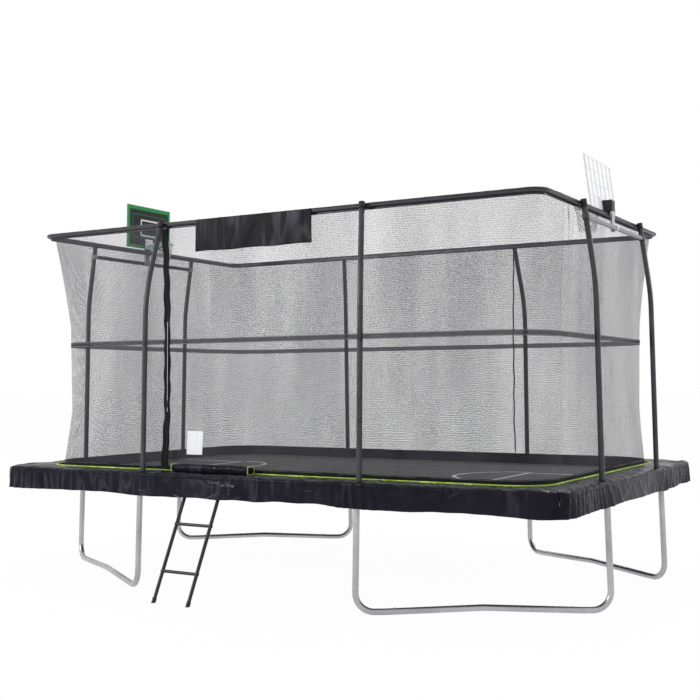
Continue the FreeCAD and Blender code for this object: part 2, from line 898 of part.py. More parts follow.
def makePiping():
    # Cord sewn along the pad's inner top edge.
    z = padTop + padCrown + pipingRadius
    x = padInnerX + pipingRadius + 1
    y = padInnerY + pipingRadius + 1
    path = roundedRectangle(x, y, padInnerRadius + pipingRadius, z)
    circle = Part.Wire([Part.makeCircle(pipingRadius, path.Vertexes[0].Point, path.Edges[0].tangentAt(
        path.Edges[0].FirstParameter))])
    return path.makePipeShell([circle], True, False)


def makeStepPad():
    # Crowned cushion across the pad in front of the entrance.
    back = -padInnerY - 2 * pipingRadius - 2
    front = back - stepDepth
    bottom = padTop + padCrown + netGap
    half = stepLength / 2
    corner = 14.0
    sections = []
    shapes = ((0, stepHeight * 0.7), (corner, stepHeight), (half, stepHeight + stepCrown),
              (stepLength - corner, stepHeight), (stepLength, stepHeight * 0.7))
    for x, height in shapes:
        at = stepCentre - half + x
        bulge = stepCrown * height / stepHeight
        points = [vec(at, back, bottom), vec(at, front, bottom), vec(at, front - bulge, bottom + height / 2),
                  vec(at, front, bottom + height), vec(at, (front + back) / 2, bottom + height + bulge),
                  vec(at, back, bottom + height)]
        sections.append(Part.makePolygon(points + [points[0]]))
    return Part.makeLoft(sections, True, True)


def makeBanner():
    # Cloth with upright folds, hung on the outside of the front top tube.
    width = bannerWidth / bannerFolds
    base = -(ringY + ringTube / 2 + netGap + partGap) - bannerFoldDepth / 2
    start = bannerCentre - bannerWidth / 2
    end = start + bannerWidth
    near = []
    far = []
    for i in range(bannerFolds):
        a = start + i * width
        b = a + width
        swing = bannerFoldDepth / 2 if i % 2 else -bannerFoldDepth / 2
        for edges, y in ((near, base), (far, base - bannerThickness)):
            edges.append(Part.Arc(vec(a, y, 0), vec((a + b) / 2, y + swing, 0), vec(b, y, 0)).toShape())
    edges = near + far
    for x in (start, end):
        edges.append(Part.LineSegment(vec(x, base, 0), vec(x, base - bannerThickness, 0)).toShape())
    face = Part.Face(Part.Wire(Part.__sortEdges__(edges)))
    cloth = face.extrude(vec(0, 0, bannerDrop))
    cloth.translate(vec(0, 0, ringHeight + ringTube / 2 - bannerDrop))
    return cloth


def poleAt(outwardX, height):
    # The short-side pole's axis at a height above its bend.
    plan = vec(outwardX * railX, stationShort, 0)
    foot, bend, top = polePoints(plan, vec(outwardX, 0, 0), vec(0, -1, 0), "right")
    t = (height - bend.z) / (top.z - bend.z)
    return bend + (top - bend) * t, (top - bend).normalize()


def makeCrossbars():
    bars = []
    clamps = []
    r = crossbarTube / 2
    poleR = poleTube / 2
    collarR = poleR + partGap + clampWall
    for s in (-1, 1):
        centre, axis = poleAt(s, crossbarHeight)
        half = stationShort - collarR - clampGap
        ends = [vec(centre.x, t * half, crossbarHeight) for t in (-1, 1)]
        bars.append(pipe(ends[0], ends[1], r, crossbarWall))
        for t in (-1, 1):
            at = vec(centre.x, t * stationShort, crossbarHeight)
            lean = vec(axis.x, 0, axis.z)
            collar = rod(at - lean * (clampHeight / 2), at + lean * (clampHeight / 2), collarR)
            stub = rod(at - vec(0, t * (poleR + 2), 0), vec(centre.x, t * (half - clampSpigot), crossbarHeight),
                       r - crossbarWall - spigotClearance)
            body = collar.fuse(stub)
            body = body.cut(rod(at - lean * clampHeight, at + lean * clampHeight, poleR + partGap))
            clamps.append(sorted(body.Solids, key=lambda q: q.Volume)[-1])
    return group(bars), group(clamps)


def boardAxes(lean):
    # Directions up the board and inwards, square to it.
    a = math.radians(lean)
    return vec(-math.sin(a), 0, math.cos(a)), vec(-math.cos(a), 0, -math.sin(a))


def boardBlock(back, lean, y0, y1, z0, z1, d0, d1):
    # A box in the board's own directions: along Y, up the board, and inwards from its back face.
    upBoard, inward = boardAxes(lean)
    base = vec(back, y0, boardBottom) + upBoard * z0 + inward * d0
    side = vec(0, y1 - y0, 0)
    deep = inward * (d1 - d0)
    return prism([base, base + side, base + side + deep, base + deep], upBoard * (z1 - z0))


def makeBoard(back, lean):
    # Moulded panel with a raised rim and a rib grid on its back.
    depth = boardRib + boardPanel

    def block(y0, y1, z0, z1, d0, d1):
        return boardBlock(back, lean, y0, y1, z0, z1, d0, d1)

    half = boardWidth / 2
    body = block(-half, half, 0, boardHeight, boardRib, depth)
    outer = block(-half, half, 0, boardHeight, 0, boardRib)
    hollow = block(-half + boardRim, half - boardRim, boardRim, boardHeight - boardRim, -1, boardRib)
    body = body.fuse(outer.cut(hollow))
    for i in range(1, boardColumns):
        y = -half + boardWidth * i / boardColumns
        body = body.fuse(block(y - boardRibWall / 2, y + boardRibWall / 2, 2, boardHeight - 2, 2, boardRib))
    for i in range(1, boardRows):
        z = boardHeight * i / boardRows
        body = body.fuse(block(-half + 2, half - 2, z - boardRibWall / 2, z + boardRibWall / 2, 2, boardRib))
    seatTop = bracketTop - boardBottom + boardSeat
    seat = block(-bracketWidth / 2 - boardSeat, bracketWidth / 2 + boardSeat, 0, seatTop, 0, boardRib)
    return body.fuse(seat).removeSplitter()


def postOuterX():
    centre, axis = poleAt(1, crossbarHeight)
    return centre.x - crossbarTube / 2 - partGap


def postSolid():
    corner = vec(postOuterX() - postDepth, -postWidth / 2, postBottom)
    return Part.makeBox(postDepth, postWidth, postTop - postBottom, corner)


def makePost():
    # Flat tube between the crossbar and the board's bracket, with a U strap round the crossbar.
    centre, axis = poleAt(1, crossbarHeight)
    outer = postOuterX()
    corner = vec(outer - postDepth + postWall, -postWidth / 2 + postWall, postBottom - 1)
    core = Part.makeBox(postDepth - 2 * postWall, postWidth - 2 * postWall, postTop - postBottom + 2, corner)
    post = postSolid().cut(core)
    inner = crossbarTube / 2 + partGap
    at = vec(centre.x, -strapBandWidth / 2, crossbarHeight)

    def tongue(radius, run):
        # A round end about the crossbar, and straight sides towards the post.
        corner = vec(centre.x - run, at.y, crossbarHeight - radius)
        side = Part.makeBox(run, strapBandWidth, 2 * radius, corner)
        return Part.makeCylinder(radius, strapBandWidth, at, vec(0, 1, 0)).fuse(side)

    far = 2 * crossbarTube
    band = tongue(inner + strapBandWall, far).cut(tongue(inner, far + 1))
    side = Part.makeBox(far, strapBandWidth, far, vec(outer - far, at.y, crossbarHeight - far / 2))
    return post, band.cut(side)


def makeBracket(back, lean):
    # Block that takes the post's top, with a shelf under the board's lower edge.
    upBoard, inward = boardAxes(lean)
    depth = boardRib + boardPanel
    topX = back + upBoard.x / upBoard.z * (bracketTop - boardBottom)
    shelf = back - depth - bracketShelf
    outer = postOuterX() + bracketWall
    points = [(outer, bracketBottom), (outer, bracketTop), (topX, bracketTop), (back, boardBottom),
              (shelf, boardBottom), (shelf, bracketBottom)]
    flat = [vec(x, -bracketWidth / 2, z) for x, z in points]
    body = prism(flat, vec(0, bracketWidth, 0)).cut(postSolid())
    return body.cut(boardBlock(back, lean, -boardWidth / 2, boardWidth / 2, 0, boardHeight, 0, depth))


def makeRim(back, lean):
    # Hoop on a plate and an arm, and its net below.
    upBoard, inward = boardAxes(lean)
    depth = boardRib + boardPanel
    half = bracketWidth / 2
    plateBox = boardBlock(back, lean, -half, half, rimPlateLow, rimPlateHigh, depth, depth + rimPlate)
    face = back + upBoard.x / upBoard.z * (rimHeight - boardBottom) - depth
    centreX = rimCentre
    hoop = Part.makeTorus(rimRadius, rimWire / 2, vec(centreX, 0, rimHeight), up)
    armStart = vec(centreX + rimRadius - 1, -rimArm / 2, rimHeight - rimArmThickness / 2)
    arm = Part.makeBox(face - rimPlate - armStart.x + 1, rimArm, rimArmThickness, armStart)
    rim = hoop.fuse(arm).fuse(plateBox)
    top = rimHeight - rimWire / 2 - netGap
    r0 = rimRadius
    cone = Part.makeCone(hoopNetBottomRadius, r0, hoopNetLength, vec(centreX, 0, top - hoopNetLength), up)
    bore = Part.makeCone(hoopNetBottomRadius - hoopNetThickness, r0 - hoopNetThickness, hoopNetLength,
                         vec(centreX, 0, top - hoopNetLength), up)
    net = cone.cut(bore)
    cutters = []
    rowStep = hoopNetLength / hoopNetRows
    for row in range(hoopNetRows):
        z = top - rowStep * (row + 0.5)
        radius = r0 - (r0 - hoopNetBottomRadius) * (row + 0.5) / hoopNetRows
        halfWidth = math.pi * radius / hoopNetColumns * 0.72
        halfTall = rowStep * 0.40
        for col in range(hoopNetColumns // 2):
            turn = (col + 0.5 * (row % 2)) * 360.0 / hoopNetColumns
            points = [vec(-2 * r0, 0, z - halfTall), vec(-2 * r0, halfWidth, z), vec(-2 * r0, 0, z + halfTall),
                      vec(-2 * r0, -halfWidth, z)]
            cutter = prism(points, vec(4 * r0, 0, 0))
            cutter.rotate(vec(0, 0, 0), up, turn)
            cutter.translate(vec(centreX, 0, 0))
            cutters.append(cutter)
    net = net.cut(cutters)
    return rim, net


def ladderAxis():
    a = math.radians(ladderLean)
    return vec(0, -math.sin(a), -math.cos(a))


def ladderPoint(x, distance):
    start = vec(x, -railY - ladderStartY, railHeight - ladderStartDrop)
    return start + ladderAxis() * distance


def makeLadder():
    axis = ladderAxis()
    full = (railHeight - ladderStartDrop) / -axis.z
    sole = footSole / -axis.z + footRadius * math.tan(math.radians(ladderLean))
    r = ladderTube / 2
    xs = (ladderCentre - ladderWidth / 2, ladderCentre + ladderWidth / 2)
    rails = []
    rungs = []
    hooks = []
    feet = []
    rungSpots = [(railHeight - ladderStartDrop - z) / -axis.z for z in ladderRungs]
    for x in xs:
        tube = pipe(ladderPoint(x, 0), ladderPoint(x, full - sole), r, ladderWall)
        for d in rungSpots:
            at = ladderPoint(x, d)
            tube = tube.cut(rod(at - vec(r + 1, 0, 0), at + vec(r + 1, 0, 0), ladderRung / 2 + partGap / 3))
        rails.append(tube)
        boot = rod(ladderPoint(x, full - footLength), ladderPoint(x, full + 40), footRadius)
        boot = boot.cut(rod(ladderPoint(x, full - footLength - 1), ladderPoint(x, full - sole), r + partGap / 3))
        foot = ladderPoint(x, full)
        boot = boot.cut(Part.makeBox(200, 200, 200, vec(foot.x - 100, foot.y - 100, -200)))
        feet.append(boot)
        # Hook plate round the front rail, and a plug in the tube's end
        inner = frameTube / 2 + hookGap
        centre = vec(x - hookWidth / 2, -railY, railHeight)
        arc = Part.makeCylinder(inner + hookWall, hookWidth, centre, vec(1, 0, 0))
        plugEnds = [ladderPoint(x, -hookPlugStart), ladderPoint(x, hookPlugLength)]
        plug = rod(plugEnds[0], plugEnds[1], r - ladderWall - spigotClearance)
        hook = arc.fuse(plug).cut(Part.makeCylinder(inner, hookWidth + 20, centre - vec(10, 0, 0), vec(1, 0, 0)))
        lowA = math.radians(hookOuter)
        highA = math.radians(-hookInner)
        reach = 3 * inner
        middle = vec(centre.x - 5, -railY, railHeight)
        # The open part of the hook faces inwards and down
        gapStart = vec(middle.x, middle.y - reach * math.sin(highA), middle.z + reach * math.cos(highA))
        gapEnd = vec(middle.x, middle.y - reach * math.sin(lowA), middle.z + reach * math.cos(lowA))
        far = vec(middle.x, middle.y + 2 * reach, middle.z - reach)
        opening = prism([middle, gapStart, vec(middle.x, middle.y + 2 * reach, middle.z + reach), far,
                         vec(middle.x, gapEnd.y, middle.z - 2 * reach), gapEnd], vec(hookWidth + 10, 0, 0))
        hook = hook.cut(opening.cut(rod(plugEnds[0], plugEnds[1], r)))
        hooks.append(sorted(hook.Solids, key=lambda q: q.Volume)[-1])
    for d in rungSpots:
        start = ladderPoint(xs[0] - r + 1, d)
        end = ladderPoint(xs[1] + r - 1, d)
        rungs.append(pipe(start, end, ladderRung / 2, ladderWall))
    return group(rails), group(rungs), group(hooks), group(feet)


os.makedirs("parts", exist_ok=True)

rails = makeRails()
for name in ("front", "back", "left", "right"):
    save("rail_" + name, rails[name])
save("rail_corners", rails["corners"])
save("frame_tees", makeTees())
save("tee_screws", teeScrews())

legTubes, legBars, legScrews = makeLegs()
for name in legTubes:
    save("leg_tubes_" + name, legTubes[name])
save("leg_bars", legBars)
save("leg_screws", legScrews)

lowerPoles, upperLong, upperShort = makePoles()
save("lower_poles", lowerPoles)
save("upper_poles_long", upperLong)
save("upper_poles_short", upperShort)
save("pole_caps", makeCaps())

ringLong, ringShort, ringCorners = makeRing()
save("ring_long_tubes", ringLong)
save("ring_short_tubes", ringShort)
save("ring_corners", ringCorners)

nets = makeNets()
for name in ("front", "back", "left", "right", "corners"):
    save("net_" + name, nets[name])
netOuter = netThickness + netGap
save("net_hem", netShell(netOuter, hemThickness, netBottom, netBottom + hemHeight))
save("net_strap", netShell(netOuter, hemThickness, strapHeight - strapWidth / 2, strapHeight + strapWidth / 2))
save("net_sleeve", makeSleeve())
save("entrance_strip", makeStrip())
save("zip_slider", makeSlider())
save("blank_card", makeCard())

save("mat", makeMat())
save("mat_webbing", makeWebbing())
matRings, springsLong, springsShort = makeSprings()
save("mat_rings", matRings)
save("springs_long", springsLong)
save("springs_short", springsShort)

pads = makePads()
for name in ("front", "back", "left", "right"):
    save("pad_" + name, pads[name])
skirtFront, skirtSides = makeSkirts()
save("skirt_front", skirtFront)
save("skirt_sides", skirtSides)
save("pad_piping", makePiping())
save("step_pad", makeStepPad())
save("banner", makeBanner())

crossbars, crossbarClamps = makeCrossbars()
save("crossbars", crossbars)
save("crossbar_clamps", crossbarClamps)
post, strap = makePost()
save("hoop_posts", group([post, rotated(post, 180, 0, 0, 0)]))
save("post_straps", group([strap, rotated(strap, 180, 0, 0, 0)]))
brackets = []
boardPlaces = [("right", 0, boardBackRight, boardLeanRight), ("left", 180, boardBackLeft, boardLeanLeft)]
for name, angle, back, lean in boardPlaces:
    rim, hoopNet = makeRim(back, lean)
    brackets.append(rotated(makeBracket(back, lean), angle, 0, 0, 0))
    save("backboard_" + name, rotated(makeBoard(back, lean), angle, 0, 0, 0))
    save("hoop_rim_" + name, rotated(rim, angle, 0, 0, 0))
    save("hoop_net_" + name, rotated(hoopNet, angle, 0, 0, 0))
save("board_brackets", group(brackets))

ladderRails, ladderRungTubes, ladderHooks, ladderFeet = makeLadder()
save("ladder_rails", ladderRails)
save("ladder_rungs", ladderRungTubes)
save("ladder_hooks", ladderHooks)
save("ladder_feet", ladderFeet)
print("shift", centreShift)
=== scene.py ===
import json
import math
import bpy
import bmesh
from mathutils import Matrix, Vector, noise

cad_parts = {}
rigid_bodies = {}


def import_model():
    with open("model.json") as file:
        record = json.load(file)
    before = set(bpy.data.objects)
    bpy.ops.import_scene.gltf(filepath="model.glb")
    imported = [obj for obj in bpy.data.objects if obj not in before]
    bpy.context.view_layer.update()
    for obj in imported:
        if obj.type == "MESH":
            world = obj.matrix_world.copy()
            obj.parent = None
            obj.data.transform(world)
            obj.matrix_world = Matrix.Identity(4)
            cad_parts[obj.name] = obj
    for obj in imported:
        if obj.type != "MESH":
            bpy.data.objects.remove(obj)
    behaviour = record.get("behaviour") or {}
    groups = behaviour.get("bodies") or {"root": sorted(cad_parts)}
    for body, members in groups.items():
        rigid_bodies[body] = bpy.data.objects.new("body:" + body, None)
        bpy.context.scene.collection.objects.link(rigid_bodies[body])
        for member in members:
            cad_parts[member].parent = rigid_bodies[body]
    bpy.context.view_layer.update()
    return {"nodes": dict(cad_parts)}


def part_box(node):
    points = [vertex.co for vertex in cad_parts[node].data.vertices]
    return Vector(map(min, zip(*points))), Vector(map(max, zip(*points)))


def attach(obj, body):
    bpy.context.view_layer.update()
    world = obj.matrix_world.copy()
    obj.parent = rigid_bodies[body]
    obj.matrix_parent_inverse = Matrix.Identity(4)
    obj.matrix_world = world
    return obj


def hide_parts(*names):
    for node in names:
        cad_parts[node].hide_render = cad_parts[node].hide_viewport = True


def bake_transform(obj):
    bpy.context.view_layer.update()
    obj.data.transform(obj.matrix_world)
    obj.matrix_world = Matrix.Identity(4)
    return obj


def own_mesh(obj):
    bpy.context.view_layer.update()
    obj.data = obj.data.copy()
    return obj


for thing in list(bpy.data.objects):
    bpy.data.objects.remove(thing)
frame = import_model()
matLow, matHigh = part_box("mat")
shiftY = (matLow.y + matHigh.y) / 2  # the mat's middle lies a little behind the origin
print("frame loaded")

# Camera, floor and light

cameraSetup = {
    "place": (4.5302, -7.7010, 1.4799),  # from the mat's middle
    "turnLeft": 30.5644,
    "tiltUp": 1.7555,
    "roll": -0.2137,
    "lens": 57.128,
    "sensor": 36.0,
    "clipEnd": 200,
}
lightSetup = {
    "worldLevel": 0.74,
    "keyPlace": (-5.5, -8.5, 4.4),
    "keySize": 0.55,
    "keyPower": 400.0,
    "fillPlace": (8.5, 4.5, 4.0),
    "fillSize": 0.6,
    "fillPower": 190.0,
    "rimPlace": (0.0, 7.0, 6.0),
    "rimPower": 150.0,
    "floorSize": 400.0,
    "floorGlow": 0.97,
    "floorTone": 0.97,
    "floorDrop": 0.0005,
    "aimHeight": 1.0,
}


def addNode(tree, kind, values=None, **settings):
    node = tree.nodes.new(kind)
    for key, value in settings.items():
        setattr(node, key, value)
    for key, value in (values or {}).items():
        if isinstance(value, bpy.types.NodeSocket):
            tree.links.new(value, node.inputs[key])
        else:
            node.inputs[key].default_value = value
    return node


def makeCamera():
    s = cameraSetup
    yaw, pitch, roll = (math.radians(s[k]) for k in ("turnLeft", "tiltUp", "roll"))
    forward = Vector((-math.sin(yaw) * math.cos(pitch), math.cos(yaw) * math.cos(pitch), math.sin(pitch)))
    right = Vector((math.cos(yaw), math.sin(yaw), 0))
    above = right.cross(forward)
    rolledRight = right * math.cos(roll) + above * math.sin(roll)
    rolledUp = above * math.cos(roll) - right * math.sin(roll)
    data = bpy.data.cameras.new("photoCamera")
    data.lens = s["lens"]
    data.sensor_width = s["sensor"]
    data.clip_end = s["clipEnd"]
    camera = bpy.data.objects.new("photoCamera", data)
    bpy.context.scene.collection.objects.link(camera)
    turn = Matrix((rolledRight, rolledUp, -forward)).transposed().to_4x4()
    camera.matrix_world = Matrix.Translation(Vector(s["place"]) + Vector((0, shiftY, 0))) @ turn
    bpy.context.scene.camera = camera


def addLamp(name, place, size, power):
    data = bpy.data.lights.new(name, "AREA")
    data.size = size
    data.energy = power
    lamp = bpy.data.objects.new(name, data)
    bpy.context.scene.collection.objects.link(lamp)
    lamp.location = place
    lamp.rotation_mode = "QUATERNION"
    aim = Vector((0, 0, lightSetup["aimHeight"])) - Vector(place)
    lamp.rotation_quaternion = aim.to_track_quat("-Z", "Y")


def seenDirectly(tree):
    # 1 for rays from the camera, a mirror or a clear surface.
    rays = addNode(tree, "ShaderNodeLightPath").outputs
    share = rays["Is Camera Ray"]
    for other in ("Is Glossy Ray", "Is Transmission Ray"):
        share = addNode(tree, "ShaderNodeMath", {0: share, 1: rays[other]}, operation="MAXIMUM").outputs[0]
    return share


def makeSurroundings():
    s = lightSetup
    world = bpy.data.worlds.new("studio")
    bpy.context.scene.world = world
    world.use_nodes = True
    tree = world.node_tree
    tree.nodes.clear()
    soft = addNode(tree, "ShaderNodeBackground", {"Color": (1, 1, 1, 1), "Strength": s["worldLevel"]})
    white = addNode(tree, "ShaderNodeBackground", {"Color": (1, 1, 1, 1), "Strength": 1.0})
    share = seenDirectly(tree)
    mix = addNode(tree, "ShaderNodeMixShader", {0: share, 1: soft.outputs[0], 2: white.outputs[0]})
    addNode(tree, "ShaderNodeOutputWorld", {"Surface": mix.outputs[0]})
    addLamp("keyLamp", s["keyPlace"], s["keySize"], s["keyPower"])
    addLamp("fillLamp", s["fillPlace"], s["fillSize"], s["fillPower"])
    addLamp("rimLamp", s["rimPlace"], s["keySize"], s["rimPower"])
    half = s["floorSize"] / 2
    low = -s["floorDrop"]
    corners = [(-half, -half, low), (half, -half, low), (half, half, low), (-half, half, low)]
    mesh = bpy.data.meshes.new("floor")
    mesh.from_pydata(corners, [], [(0, 1, 2, 3)])
    floor = bpy.data.objects.new("floor", mesh)
    bpy.context.scene.collection.objects.link(floor)
    material = bpy.data.materials.new("paleFloor")
    material.use_nodes = True
    tree = material.node_tree
    tree.nodes.clear()
    tone = s["floorTone"]
    paper = addNode(tree, "ShaderNodeBsdfDiffuse", {"Color": (tone, tone, tone, 1)})
    glow = addNode(tree, "ShaderNodeEmission", {"Color": (1, 1, 1, 1), "Strength": 1.0})
    share = addNode(tree, "ShaderNodeMath", {0: seenDirectly(tree), 1: s["floorGlow"]}, operation="MULTIPLY")
    mix = addNode(tree, "ShaderNodeMixShader", {0: share.outputs[0], 1: paper.outputs[0], 2: glow.outputs[0]})
    addNode(tree, "ShaderNodeOutputMaterial", {"Surface": mix.outputs[0]})
    floor.data.materials.append(material)


makeCamera()
makeSurroundings()
bpy.context.scene.view_settings.view_transform = "Standard"
print("camera, floor and light made")

# Finishes


def startFinish(name, **sockets):
    material = bpy.data.materials.new(name)
    material.use_nodes = True
    shader = material.node_tree.nodes["Principled BSDF"]
    for key, value in sockets.items():
        shader.inputs[key.replace("_", " ")].default_value = value
    return material, material.node_tree, shader


def placeVector(tree, scale=(1, 1, 1), turn=(0, 0, 0), source="Object"):
    start = addNode(tree, "ShaderNodeTexCoord").outputs[source]
    return addNode(tree, "ShaderNodeMapping", {"Vector": start, "Scale": scale, "Rotation": turn}).outputs[0]


def noiseAt(tree, vector, scale, detail=3.0, roughness=0.55, distortion=0.0):
    values = {
        "Vector": vector,
        "Scale": scale,
        "Detail": detail,
        "Roughness": roughness,
        "Distortion": distortion,
    }
    return addNode(tree, "ShaderNodeTexNoise", values).outputs["Fac"]


def rampOf(tree, factor, *stops):
    node = addNode(tree, "ShaderNodeValToRGB", {"Fac": factor})
    ramp = node.color_ramp
    while len(ramp.elements) < len(stops):
        ramp.elements.new(0.5)
    for element, (place, colour) in zip(ramp.elements, stops):
        element.position = place
        value = colour if isinstance(colour, (tuple, list)) else (colour, colour, colour)
        element.color = (*value, 1)
    return node.outputs["Color"]


def mathOf(tree, operation, first, second=0.0, third=0.0):
    values = {0: first, 1: second}
    if operation == "MULTIPLY_ADD":
        values[2] = third
    return addNode(tree, "ShaderNodeMath", values, operation=operation).outputs[0]


def mapOf(tree, value, low, high, newLow, newHigh):
    values = {"Value": value, "From Min": low, "From Max": high, "To Min": newLow, "To Max": newHigh}
    return addNode(tree, "ShaderNodeMapRange", values).outputs["Result"]


def offMiddle(tree, value):
    # How far a value lies from 0.5.
    return mathOf(tree, "ABSOLUTE", mathOf(tree, "SUBTRACT", value, 0.5))


def mixOf(tree, share, first, second):
    return addNode(tree, "ShaderNodeMix", {"Factor": share, 6: first, 7: second}, data_type="RGBA").outputs[2]


def bumpOf(tree, height, distance, strength=1.0, before=None):
    values = {"Height": height, "Distance": distance, "Strength": strength}
    if before is not None:
        values["Normal"] = before
    return addNode(tree, "ShaderNodeBump", values).outputs["Normal"]


def connect(tree, shader, **links):
    for key, socket in links.items():
        tree.links.new(socket, shader.inputs[key.replace("_", " ")])


def galvanisedFinish():
    # Zinc dip with a fine spangle and a few dull stains.
    material, tree, shader = startFinish("galvanisedSteel", Metallic=0.9)
    place = placeVector(tree)
    crystal = addNode(tree, "ShaderNodeTexVoronoi", {"Vector": place, "Scale": 140.0, "Randomness": 1.0})
    grey = addNode(tree, "ShaderNodeSeparateColor", {"Color": crystal.outputs["Color"]}).outputs[0]
    stain = noiseAt(tree, place, 3.5, 4.0, 0.5)
    tone = mathOf(tree, "MULTIPLY_ADD", grey, 0.16, mathOf(tree, "MULTIPLY", stain, 0.7))
    stops = ((0.25, (0.34, 0.34, 0.36)), (0.5, (0.46, 0.46, 0.49)), (0.75, (0.60, 0.60, 0.63)))
    colour = rampOf(tree, tone, *stops)
    rough = mapOf(tree, tone, 0.2, 0.8, 0.36, 0.26)
    connect(tree, shader, Base_Color=colour, Roughness=rough, Normal=bumpOf(tree, grey, 0.00006, 0.3))
    return material


def powderFinish(name, dark, light, rough):
    # Powder coat with orange peel, a cloudy tone and faint scuffs.
    material, tree, shader = startFinish(name, Specular_IOR_Level=0.35)
    place = placeVector(tree)
    peel = noiseAt(tree, place, 900.0, 2.0)
    cloud = noiseAt(tree, place, 6.0, 4.0, 0.6)
    rubbed = noiseAt(tree, placeVector(tree, (1, 1, 0.12)), 140.0, 4.0, 0.7)
    scuff = rampOf(tree, rubbed, (0.62, 0.0), (0.72, 1.0))
    base = rampOf(tree, cloud, (0.3, dark), (0.75, light))
    worn = (*[min(1.0, c * 2.4 + 0.01) for c in light], 1)
    colour = mixOf(tree, mathOf(tree, "MULTIPLY", scuff, 0.18), base, worn)
    smooth = mapOf(tree, cloud, 0.3, 0.7, rough - 0.05, rough + 0.06)
    roughness = mathOf(tree, "MULTIPLY_ADD", scuff, 0.12, smooth)
    connect(tree, shader, Base_Color=colour, Roughness=roughness, Normal=bumpOf(tree, peel, 0.00008, 0.45))
    return material


def zincFinish():
    # Bright plating with a cloudy tone.
    tint = (0.72, 0.73, 0.72)
    material, tree, shader = startFinish("brightZinc", Metallic=1.0)
    place = placeVector(tree)
    cloud = noiseAt(tree, place, 130.0, 4.0, 0.6)
    colour = rampOf(tree, cloud, (0.3, [c * 0.75 for c in tint]), (0.7, tint))
    connect(tree, shader, Base_Color=colour, Roughness=mapOf(tree, cloud, 0.3, 0.7, 0.42, 0.24),
            Normal=bumpOf(tree, noiseAt(tree, place, 900.0), 0.00006, 0.4))
    return material


def mouldedFinish(name, dark, light, rough):
    # Moulded plastic or rubber with a spark-eroded grain.
    material, tree, shader = startFinish(name, Specular_IOR_Level=0.3)
    place = placeVector(tree)
    grain = noiseAt(tree, place, 1400.0, 2.0)
    cloud = noiseAt(tree, place, 18.0, 4.0)
    connect(tree, shader, Base_Color=rampOf(tree, cloud, (0.3, dark), (0.7, light)),
            Roughness=mapOf(tree, cloud, 0.3, 0.7, rough - 0.05, rough + 0.07),
            Normal=bumpOf(tree, grain, 0.00012, 0.5))
    return material


netLook = {
    "pitch": 0.0046,
    "rise": 0.0054,
    "thread": 0.216,  # share of the pitch
    "colour": (0.036, 0.035, 0.047),
    "rows": 0.0145,  # height of one knitted row
}


def foldLines(tree, scale, turn, width):
    # Thin wandering lines where the cloth folds, strong in some places and gone in others.
    place = placeVector(tree, scale, (0, 0, turn), "UV")
    line = mapOf(tree, offMiddle(tree, noiseAt(tree, place, 1.0, 0.0)), 0.0, width, 1.0, 0.0)
    broad = noiseAt(tree, placeVector(tree, (1.1, 0.9, 1.0), source="UV"), 1.0, 1.0)
    return mathOf(tree, "MULTIPLY", line, mapOf(tree, broad, 0.46, 0.62, 0.0, 1.0))


def netFinish(name, gather):
    # Knitted diamonds: two families of slanted threads on the panel's own UV, in metres.
    s = netLook
    material, tree, shader = startFinish(name, Roughness=0.7)
    place = addNode(tree, "ShaderNodeTexCoord").outputs["UV"]
    split = addNode(tree, "ShaderNodeSeparateXYZ", {"Vector": place})
    along = mathOf(tree, "DIVIDE", split.outputs[0], s["pitch"])
    upward = mathOf(tree, "DIVIDE", split.outputs[1], s["rise"])
    fold = noiseAt(tree, placeVector(tree, (7.0, 0.8, 1.0), source="UV"), 1.0, 3.0, 0.5)
    lines = mathOf(tree, "MAXIMUM", foldLines(tree, (8.0, 0.30, 1.0), 0.06, 0.008),
                   foldLines(tree, (6.0, 0.30, 1.0), -0.35, 0.006))
    sway = noiseAt(tree, placeVector(tree, (4.0, 6.0, 1.0), source="UV"), 1.0, 2.0)
    drift = mathOf(tree, "MULTIPLY", sway, 0.05)
    height = mathOf(tree, "DIVIDE", mathOf(tree, "ADD", split.outputs[1], drift), s["rows"] / (2 * math.pi))
    rows = mathOf(tree, "SINE", height)
    bands = noiseAt(tree, placeVector(tree, (1.9, 0.45, 1.0), (0, 0, -0.6), "UV"), 1.0, 2.0, 0.5)
    width = mapOf(tree, fold, 0.3, 0.7, s["thread"] * 0.93, s["thread"] * 1.07)
    width = mathOf(tree, "MULTIPLY", width, mapOf(tree, bands, 0.38, 0.62, 0.80, 1.20))
    width = mathOf(tree, "MULTIPLY_ADD", rows, s["thread"] * 0.30, width)
    width = mathOf(tree, "MULTIPLY_ADD", lines, gather, width)
    threads = []
    for operation in ("ADD", "SUBTRACT"):
        phase = mathOf(tree, operation, along, upward)
        wave = offMiddle(tree, mathOf(tree, "FRACT", phase))
        threads.append(mathOf(tree, "LESS_THAN", wave, mathOf(tree, "MULTIPLY", width, 0.5)))
    cover = mathOf(tree, "MAXIMUM", threads[0], threads[1])
    fibre = noiseAt(tree, place, 700.0, 2.0)
    colour = rampOf(tree, fibre, (0.3, [c * 0.6 for c in s["colour"]]), (0.7, [c * 1.5 for c in s["colour"]]))
    connect(tree, shader, Base_Color=colour, Alpha=cover)
    return material


